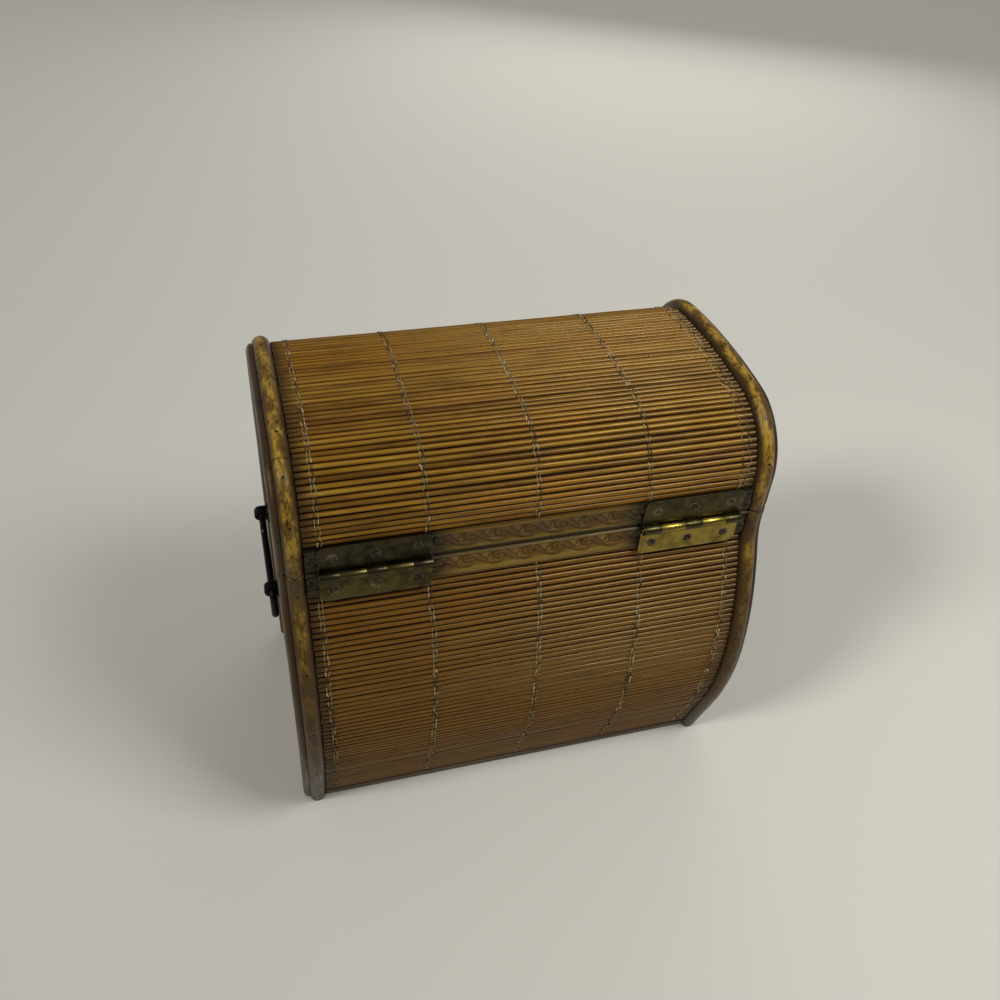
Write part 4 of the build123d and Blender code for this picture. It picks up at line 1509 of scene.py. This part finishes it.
@dataclass(frozen=True)
class VineScroll:
    """Running vine scroll of a traditional carved border, as lines with a half-width."""

    pitch: float = 18.0 * MM
    scale: float = 1.0
    crease_width: float = 0.45 * MM
    full_half: float = 2.4 * MM
    steps: int = 26

    def _bend(self, corners: Sequence[Row], widths: Row) -> np.ndarray:
        """Cubic bend of a stroke, widest in its middle.

        Args:
            corners: Its four control corners in millimetres.
            widths: Its half-width in the middle and at its ends, in millimetres.

        Returns:
            Rows of (along, up, half-width) in metres.
        """
        t = np.linspace(0.0, 1.0, self.steps)[:, None]
        a, b, c, d = (np.array(corner) * MM for corner in corners)
        line = (1 - t) ** 3 * a + 3 * (1 - t) ** 2 * t * b + 3 * (1 - t) * t**2 * c + t**3 * d
        width = MM * (widths[1] + (widths[0] - widths[1]) * np.sin(math.pi * t) ** 0.8)
        return np.concatenate([line, width], axis=1)

    def lines(self) -> list[np.ndarray]:
        """Strokes of one unit of the scroll.

        Returns:
            Rows of (along, up, half-width) for each stroke.
        """
        curl = self._bend([(2.6, 0.4), (0.2, -0.2), (-0.6, 3.6), (4.0, 3.7)], (1.25, 0.95))
        crest = self._bend([(4.0, 3.7), (8.0, 3.8), (9.4, 0.4), (13.6, -2.0)], (1.9, 1.25))
        trough = self._bend([(13.6, -2.0), (17.0, -4.0), (23.6, -4.6), (26.4, 0.4)], (1.55, 0.6))
        sprig = self._bend([(14.4, 0.6), (15.4, 2.0), (16.4, 3.2), (17.4, 4.2)], (0.6, 0.2))
        return [curl, crest, trough, sprig]

    def fullness(self, half: float) -> float:
        """Height of a stroke, lower where it is thin."""
        return min(1.0, 0.45 + half / self.full_half)

    def relief(self, along: np.ndarray, up: np.ndarray) -> tuple[np.ndarray, np.ndarray]:
        """Height and crease of the carving.

        Args:
            along: Places along the rail, a grid.
            up: Places up the rail from the scroll's middle, a grid.

        Returns:
            Height from 0 to 1, and a mask from 0 to 1 that is high beside a raised line.
        """
        height = np.zeros_like(along)
        crease = np.zeros_like(along)
        u = (along - along.min()) % self.pitch
        w = up / self.scale
        shifts = (-self.pitch, 0.0, self.pitch)
        dots = [(x + shift, y, half) for line in self.lines() for shift in shifts for x, y, half in line]
        for x, y, half in dots:
            gap = np.hypot(u - x, w - y)
            share = gap / half
            dome = np.sqrt(np.clip(1.0 - share**2, 0.0, 1.0)) * self.fullness(half)
            beside = np.clip(1.0 - np.abs(gap - half * 1.12) / self.crease_width, 0.0, 1.0)
            height = np.maximum(height, dome)
            crease = np.maximum(crease, beside * (share > 0.8))
        return height, crease * (height < 0.35)


@dataclass
class CarvedRail:
    """Rail with its carved face, a plain border and a bevel at the parting line."""

    node: str
    body: str
    finish: bpy.types.Material
    scroll: VineScroll
    scroll_height: float
    band: Row
    bevel: Row
    bevel_at_bottom: bool
    sign: int
    face: float = 86.8 * MM
    seat: float = 81.6 * MM
    carve: float = 1.25 * MM
    band_edge: float = 0.5 * MM
    grid: float = 0.5 * MM

    def build(self) -> bpy.types.Object:
        """Makes the rail, which stands for its node.

        Returns:
            The piece.
        """
        low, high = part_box(self.node)
        half = high.x
        xs = np.linspace(-half, half, int(2 * half / self.grid))
        zs = np.linspace(low.z, high.z, int((high.z - low.z) / (0.8 * self.grid)))
        along, height = np.meshgrid(-self.sign * xs, zs, indexing="ij")
        relief, crease = self.scroll.relief(along, height - self.scroll_height)
        inside = self._soft(height, self.band[0]) * (1 - self._soft(height, self.band[1]))
        border = 1.0 - inside
        level = np.maximum(relief * inside, border * 0.6)
        drop = self.carve * (1.0 - level)
        edge = height - low.z if self.bevel_at_bottom else high.z - height
        slope = np.clip(1.0 - edge / self.bevel[0], 0.0, 1.0)
        drop = np.maximum(drop * (slope <= 0), slope * self.bevel[1])
        y = self.sign * (self.face - drop)
        count_x, count_z = len(xs), len(zs)
        front = np.stack([np.broadcast_to(xs[:, None], y.shape), y, height], axis=-1).reshape(-1, 3)
        rim = self._rim(count_x, count_z)
        back = front[rim].copy()
        back[:, 1] = self.sign * self.seat
        base = count_x * count_z
        faces = [(i * count_z + j, (i + 1) * count_z + j, (i + 1) * count_z + j + 1, i * count_z + j + 1)
                 for i in range(count_x - 1) for j in range(count_z - 1)]
        for k, corner in enumerate(rim):
            after = (k + 1) % len(rim)
            faces.append((corner, rim[after], base + after, base + k))
        faces.append(tuple(base + k for k in range(len(rim))))
        zero = np.zeros(len(rim))
        data = MeshData()
        data.add(np.concatenate([front, back]), faces,
                 relief=np.concatenate([(relief * inside).ravel(), zero]),
                 crease=np.concatenate([(crease * inside).ravel(), zero]),
                 plain=np.concatenate([np.clip(slope * 3.0, 0.0, 1.0).ravel(), zero + 1.0]))
        rail = data.build(f"{self.node}_carved", [self.finish], 60.0)
        return place(rail, self.body, [self.node])

    def _soft(self, height: np.ndarray, limit: float) -> np.ndarray:
        """Smooth step from 0 to 1 around a limit of the band."""
        t = np.clip((height - limit) / self.band_edge + 0.5, 0.0, 1.0)
        return t * t * (3 - 2 * t)

    @staticmethod
    def _rim(count_x: int, count_z: int) -> list[int]:
        """Corners round the edge of the grid.

        Args:
            count_x: Points along the rail.
            count_z: Points up the rail.

        Returns:
            Their indices in order.
        """
        bottom = [i * count_z for i in range(count_x)]
        right = [(count_x - 1) * count_z + j for j in range(1, count_z)]
        top = [i * count_z + count_z - 1 for i in range(count_x - 2, -1, -1)]
        left = list(range(count_z - 2, 0, -1))
        return bottom + right + top + left


@dataclass
class Rails:
    """The carved rails beside the parting line, on the back and on the front."""

    finishes: Finishes
    body_scroll: VineScroll = VineScroll()
    body_scroll_height: float = 214.7 * MM
    body_band: Row = (209.4 * MM, 219.8 * MM)
    body_bevel: Row = (1.0 * MM, 1.0 * MM)
    lid_scroll: VineScroll = VineScroll(scale=1.1)
    lid_scroll_height: float = 232.6 * MM
    lid_band: Row = (227.6 * MM, 237.6 * MM)
    lid_bevel: Row = (4.4 * MM, 1.7 * MM)

    def build(self) -> None:
        """Makes the four rails."""
        looks = {"back": (self.finishes.body_rail, self.finishes.lid_rail),
                 "front": (self.finishes.front_rail, self.finishes.front_rail)}
        for side, sign in (("back", 1), ("front", -1)):
            body_look, lid_look = looks[side]
            CarvedRail(f"body_{side}_rail", "trunk", body_look, self.body_scroll, self.body_scroll_height,
                       self.body_band, self.body_bevel, False, sign).build()
            CarvedRail(f"lid_{side}_rail", "lid", lid_look, self.lid_scroll, self.lid_scroll_height,
                       self.lid_band, self.lid_bevel, True, sign).build()


# Fittings and plain parts


def soften(node: str, body: str, materials: Sequence[bpy.types.Material],
           bevel: float) -> bpy.types.Object:
    """Copies a node's shape with its edges rounded off, to stand for the node.

    Args:
        node: Name of the node.
        body: Body that it moves with.
        materials: Materials of the copy.
        bevel: Width of the rounded edges.

    Returns:
        The copy.
    """
    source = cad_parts[node].data
    mesh = bpy.data.meshes.new(f"{node}_finished")
    work = bmesh.new()
    work.from_mesh(source)
    bmesh.ops.remove_doubles(work, verts=work.verts, dist=WELD_DISTANCE)
    bmesh.ops.dissolve_limit(work, angle_limit=FLAT_ANGLE, verts=work.verts, edges=work.edges)
    work.to_mesh(mesh)
    work.free()
    if "custom_normal" in mesh.attributes:
        mesh.attributes.remove(mesh.attributes["custom_normal"])
    thing = make_object(f"{node}_finished", mesh, materials, 30.0)
    rounding = thing.modifiers.new("rounding", "BEVEL")
    rounding.width = bevel
    rounding.segments = 2
    rounding.limit_method = "ANGLE"
    rounding.angle_limit = ROUNDED_ANGLE
    rounding.harden_normals = False
    rounding.use_clamp_overlap = True
    bpy.context.view_layer.update()
    ready = bpy.data.meshes.new_from_object(thing.evaluated_get(bpy.context.evaluated_depsgraph_get()))
    thing.modifiers.clear()
    thing.data = ready
    ready.shade_smooth()
    ready.set_sharp_from_angle(angle=SHARP_ANGLE)
    return place(thing, body, [node])


@dataclass
class Hinges:
    """The two butt hinges: bronzed lid leaves and aged brass body leaves, the left-hand hinge in lighter
    copies of them than the right-hand one as painted light.
    """

    finishes: Finishes
    bevel: float = 0.22 * MM
    screw_bevel: float = 0.1 * MM

    def build(self) -> None:
        """Makes leaves, pins and screws."""
        # Painted light: the left-hand body leaf and pin take a lighter copy of the brass, and the right-hand
        # lid leaf a darker copy of the bronze.
        looks = {
            "right_hinge_lid_leaf": ("lid", "bronzed_brass", self.finishes.shaded_bronze),
            "right_hinge_body_leaf": ("trunk", "aged_brass", self.finishes.olive_brass),
            "left_hinge_lid_leaf": ("lid", "bronzed_brass", self.finishes.bronze),
            "left_hinge_body_leaf": ("trunk", "aged_brass", self.finishes.lit_brass),
            "right_hinge_pin": ("trunk", "aged_brass", self.finishes.olive_brass),
            "left_hinge_pin": ("trunk", "aged_brass", self.finishes.lit_brass),
        }
        for node, (body, slot, material) in looks.items():
            soften(node, body, [material], self.bevel)
        for side in ("right", "left"):
            for part, body in (("lid", "lid"), ("body", "trunk")):
                soften(f"{side}_hinge_{part}_screws", body, [self.finishes.screw],
                       self.screw_bevel)


@dataclass
class Handles:
    """The drop handles on the ends, of black iron."""

    finishes: Finishes
    bevel: float = 0.35 * MM
    bail_bevel: float = 0.2 * MM

    def build(self) -> None:
        """Makes bails, posts, roses and nuts."""
        for side in ("right", "left"):
            soften(f"{side}_handle_bail", f"{side}_bail", [self.finishes.iron], self.bail_bevel)
            for part in ("posts", "roses", "nuts"):
                soften(f"{side}_handle_{part}", "trunk", [self.finishes.iron], self.bevel)


@dataclass
class Catch:
    """The hook catch on the front."""

    finishes: Finishes
    bevel: float = 0.18 * MM
    screw_bevel: float = 0.08 * MM

    def build(self) -> None:
        """Makes plates, rivet, hook and screws."""
        brass = self.finishes.olive_brass
        for node, body in (("catch_lid_plate", "lid"), ("catch_rivet", "lid"), ("catch_hook", "hook"),
                           ("catch_body_plate", "trunk")):
            soften(node, body, [brass], self.bevel)
        for part, body in (("lid", "lid"), ("body", "trunk")):
            soften(f"catch_{part}_screws", body, [self.finishes.screw], self.screw_bevel)


@dataclass
class Carcass:
    """Shells, panels, base board and floor strips."""

    finishes: Finishes
    bevel: float = 0.3 * MM
    strip_bevel: float = 0.5 * MM
    body_middle: float = 130.0 * MM
    lid_middle: float = 100.0 * MM

    def build(self) -> None:
        """Dresses the carcass: plain wood inside, and near black on the faces under the matting as painted
        shade.
        """
        shell_looks = [self.finishes.inside, self.finishes.shade_backing]
        panel_looks = [self.finishes.board, self.finishes.shade_backing]
        for node, body, middle in (("back_shell", "trunk", self.body_middle),
                                   ("front_shell", "trunk", self.body_middle),
                                   ("lid_shell", "lid", self.lid_middle)):
            shell = soften(node, body, shell_looks, self.bevel)
            self._split_faces(shell, Vector((0.0, 0.0, middle)))
        for side in ("right", "left"):
            for node, body in ((f"{side}_end_panel", "trunk"), (f"{side}_lid_end_panel", "lid")):
                panel = soften(node, body, panel_looks, self.bevel)
                # The panels' outer faces, under the end mats, take the painted shade too.
                for face in panel.data.polygons:
                    face.material_index = int(face.center.x * face.normal.x > 0.1 * abs(face.center.x))
        soften("base_board", "trunk", [self.finishes.inside], self.bevel)
        for side in ("back", "front"):
            soften(f"{side}_base_strip", "trunk", [self.finishes.strip], self.strip_bevel)

    @staticmethod
    def _split_faces(shell: bpy.types.Object, middle: Vector) -> None:
        """Gives the shell's outer faces a near-black colour, painted shade seen through the gaps between the
        reeds.

        Args:
            shell: The dressed shell.
            middle: Place inside the trunk that those faces look away from.
        """
        for face in shell.data.polygons:
            outward = Vector((0.0, face.center.y, face.center.z)) - middle
            face.material_index = 1 if outward.dot(face.normal) > 0.3 * outward.length else 0


# Studio


@dataclass(frozen=True)
class Lamp:
    """Square soft light that faces a place."""

    name: str
    stands_at: tuple[float, float, float]
    faces: tuple[float, float, float]
    side: float
    power: float
    mirrored: bool = True

    def build(self) -> None:
        """Makes the light."""
        data = bpy.data.lights.new(self.name, "AREA")
        data.size = self.side
        data.energy = self.power
        thing = bpy.data.objects.new(self.name, data)
        thing.location = self.stands_at
        aim = Vector(self.faces) - Vector(self.stands_at)
        thing.rotation_euler = aim.to_track_quat("-Z", "Y").to_euler()
        thing.visible_glossy = self.mirrored
        bpy.context.scene.collection.objects.link(thing)


@dataclass
class Studio:
    """Floor, lights and the camera at the photograph's viewing angle."""

    camera_place: tuple[float, float, float] = (0.1557, 0.4792, 0.6143)
    camera_right: tuple[float, float, float] = (-0.9626, 0.2641, 0.0598)
    camera_down: tuple[float, float, float] = (0.1290, 0.6417, -0.7560)
    focal_pixels: float = 987.3
    sensor: float = 36.0
    floor_colour: Colour = (0.60, 0.58, 0.52)
    floor_reach: float = 6.0
    floor_grit: float = 0.6 * MM
    lamps: tuple[Lamp, ...] = (
        Lamp("top", (-0.50, 0.50, 1.20), (0.0, 0.0, 0.12), 0.45, 8.5),
        Lamp("front_fill", (-0.7, -1.4, 0.8), (0.0, 0.0, 0.12), 1.2, 6.5, mirrored=False),
    )
    key_from: tuple[float, float, float] = (0.95, 0.30, 0.80)
    key_energy: float = 1.5
    key_angle: float = math.radians(14.0)
    room_colour: Colour = (1.0, 0.98, 0.94)
    room_strength: float = 0.20

    def build(self) -> None:
        """Makes the whole setting."""
        self._camera()
        self._floor()
        for lamp in self.lamps:
            lamp.build()
        self._key()
        self._room()
        bpy.context.scene.view_settings.view_transform = "Standard"

    def _camera(self) -> None:
        """Camera from its fitted place and axes."""
        data = bpy.data.cameras.new("view")
        data.sensor_width = self.sensor
        data.sensor_fit = "HORIZONTAL"
        data.lens = self.focal_pixels / PICTURE_SIDE * self.sensor
        data.clip_start = 0.01
        thing = bpy.data.objects.new("view", data)
        right = Vector(self.camera_right).normalized()
        up = -Vector(self.camera_down)
        back = right.cross(up).normalized()
        up = back.cross(right).normalized()
        axes = Matrix((right, up, back)).transposed().to_4x4()
        thing.matrix_world = Matrix.Translation(self.camera_place) @ axes
        bpy.context.scene.collection.objects.link(thing)
        bpy.context.scene.camera = thing

    def _floor(self) -> None:
        """Wide pale floor with a faint plaster roughness."""
        mesh = bpy.data.meshes.new("floor")
        reach = self.floor_reach
        corners = [(-reach, -reach, 0), (reach, -reach, 0), (reach, reach, 0), (-reach, reach, 0)]
        mesh.from_pydata(corners, [], [(0, 1, 2, 3)])
        material, tree, shader = new_material("pale_floor")
        grit = tree.noise(tree.place_on_object(), 260.0, 4.0)
        shader.inputs["Base Color"].default_value = (*self.floor_colour, 1.0)
        shader.inputs["Roughness"].default_value = 0.9
        set_bump(tree, shader, grit, 0.15, self.floor_grit)
        make_object("floor", mesh, [material], 30.0)

    def _key(self) -> None:
        """Soft sun from the right-hand end."""
        sun = bpy.data.lights.new("key", "SUN")
        sun.energy = self.key_energy
        sun.angle = self.key_angle
        thing = bpy.data.objects.new("key", sun)
        thing.rotation_euler = (-Vector(self.key_from)).to_track_quat("-Z", "Y").to_euler()
        bpy.context.scene.collection.objects.link(thing)

    def _room(self) -> None:
        """Even light of the room."""
        world = bpy.data.worlds.new("room")
        world.use_nodes = True
        background = world.node_tree.nodes["Background"]
        background.inputs["Color"].default_value = (*self.room_colour, 1.0)
        background.inputs["Strength"].default_value = self.room_strength
        bpy.context.scene.world = world


def main() -> None:
    """Builds the trunk's looks."""
    logging.basicConfig(level=logging.INFO, format="%(name)s %(message)s")
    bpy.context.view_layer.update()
    profile = SideProfile()
    finishes = Finishes()
    for assembly in (Matting(profile, finishes), EndMatting(profile, finishes), Poles(profile, finishes),
                     Rails(finishes), Hinges(finishes), Handles(finishes), Catch(finishes), Carcass(finishes),
                     Studio()):
        assembly.build()
        log.info("%s is built", type(assembly).__name__)
    bpy.context.view_layer.update()


if __name__ == "__main__":
    main()
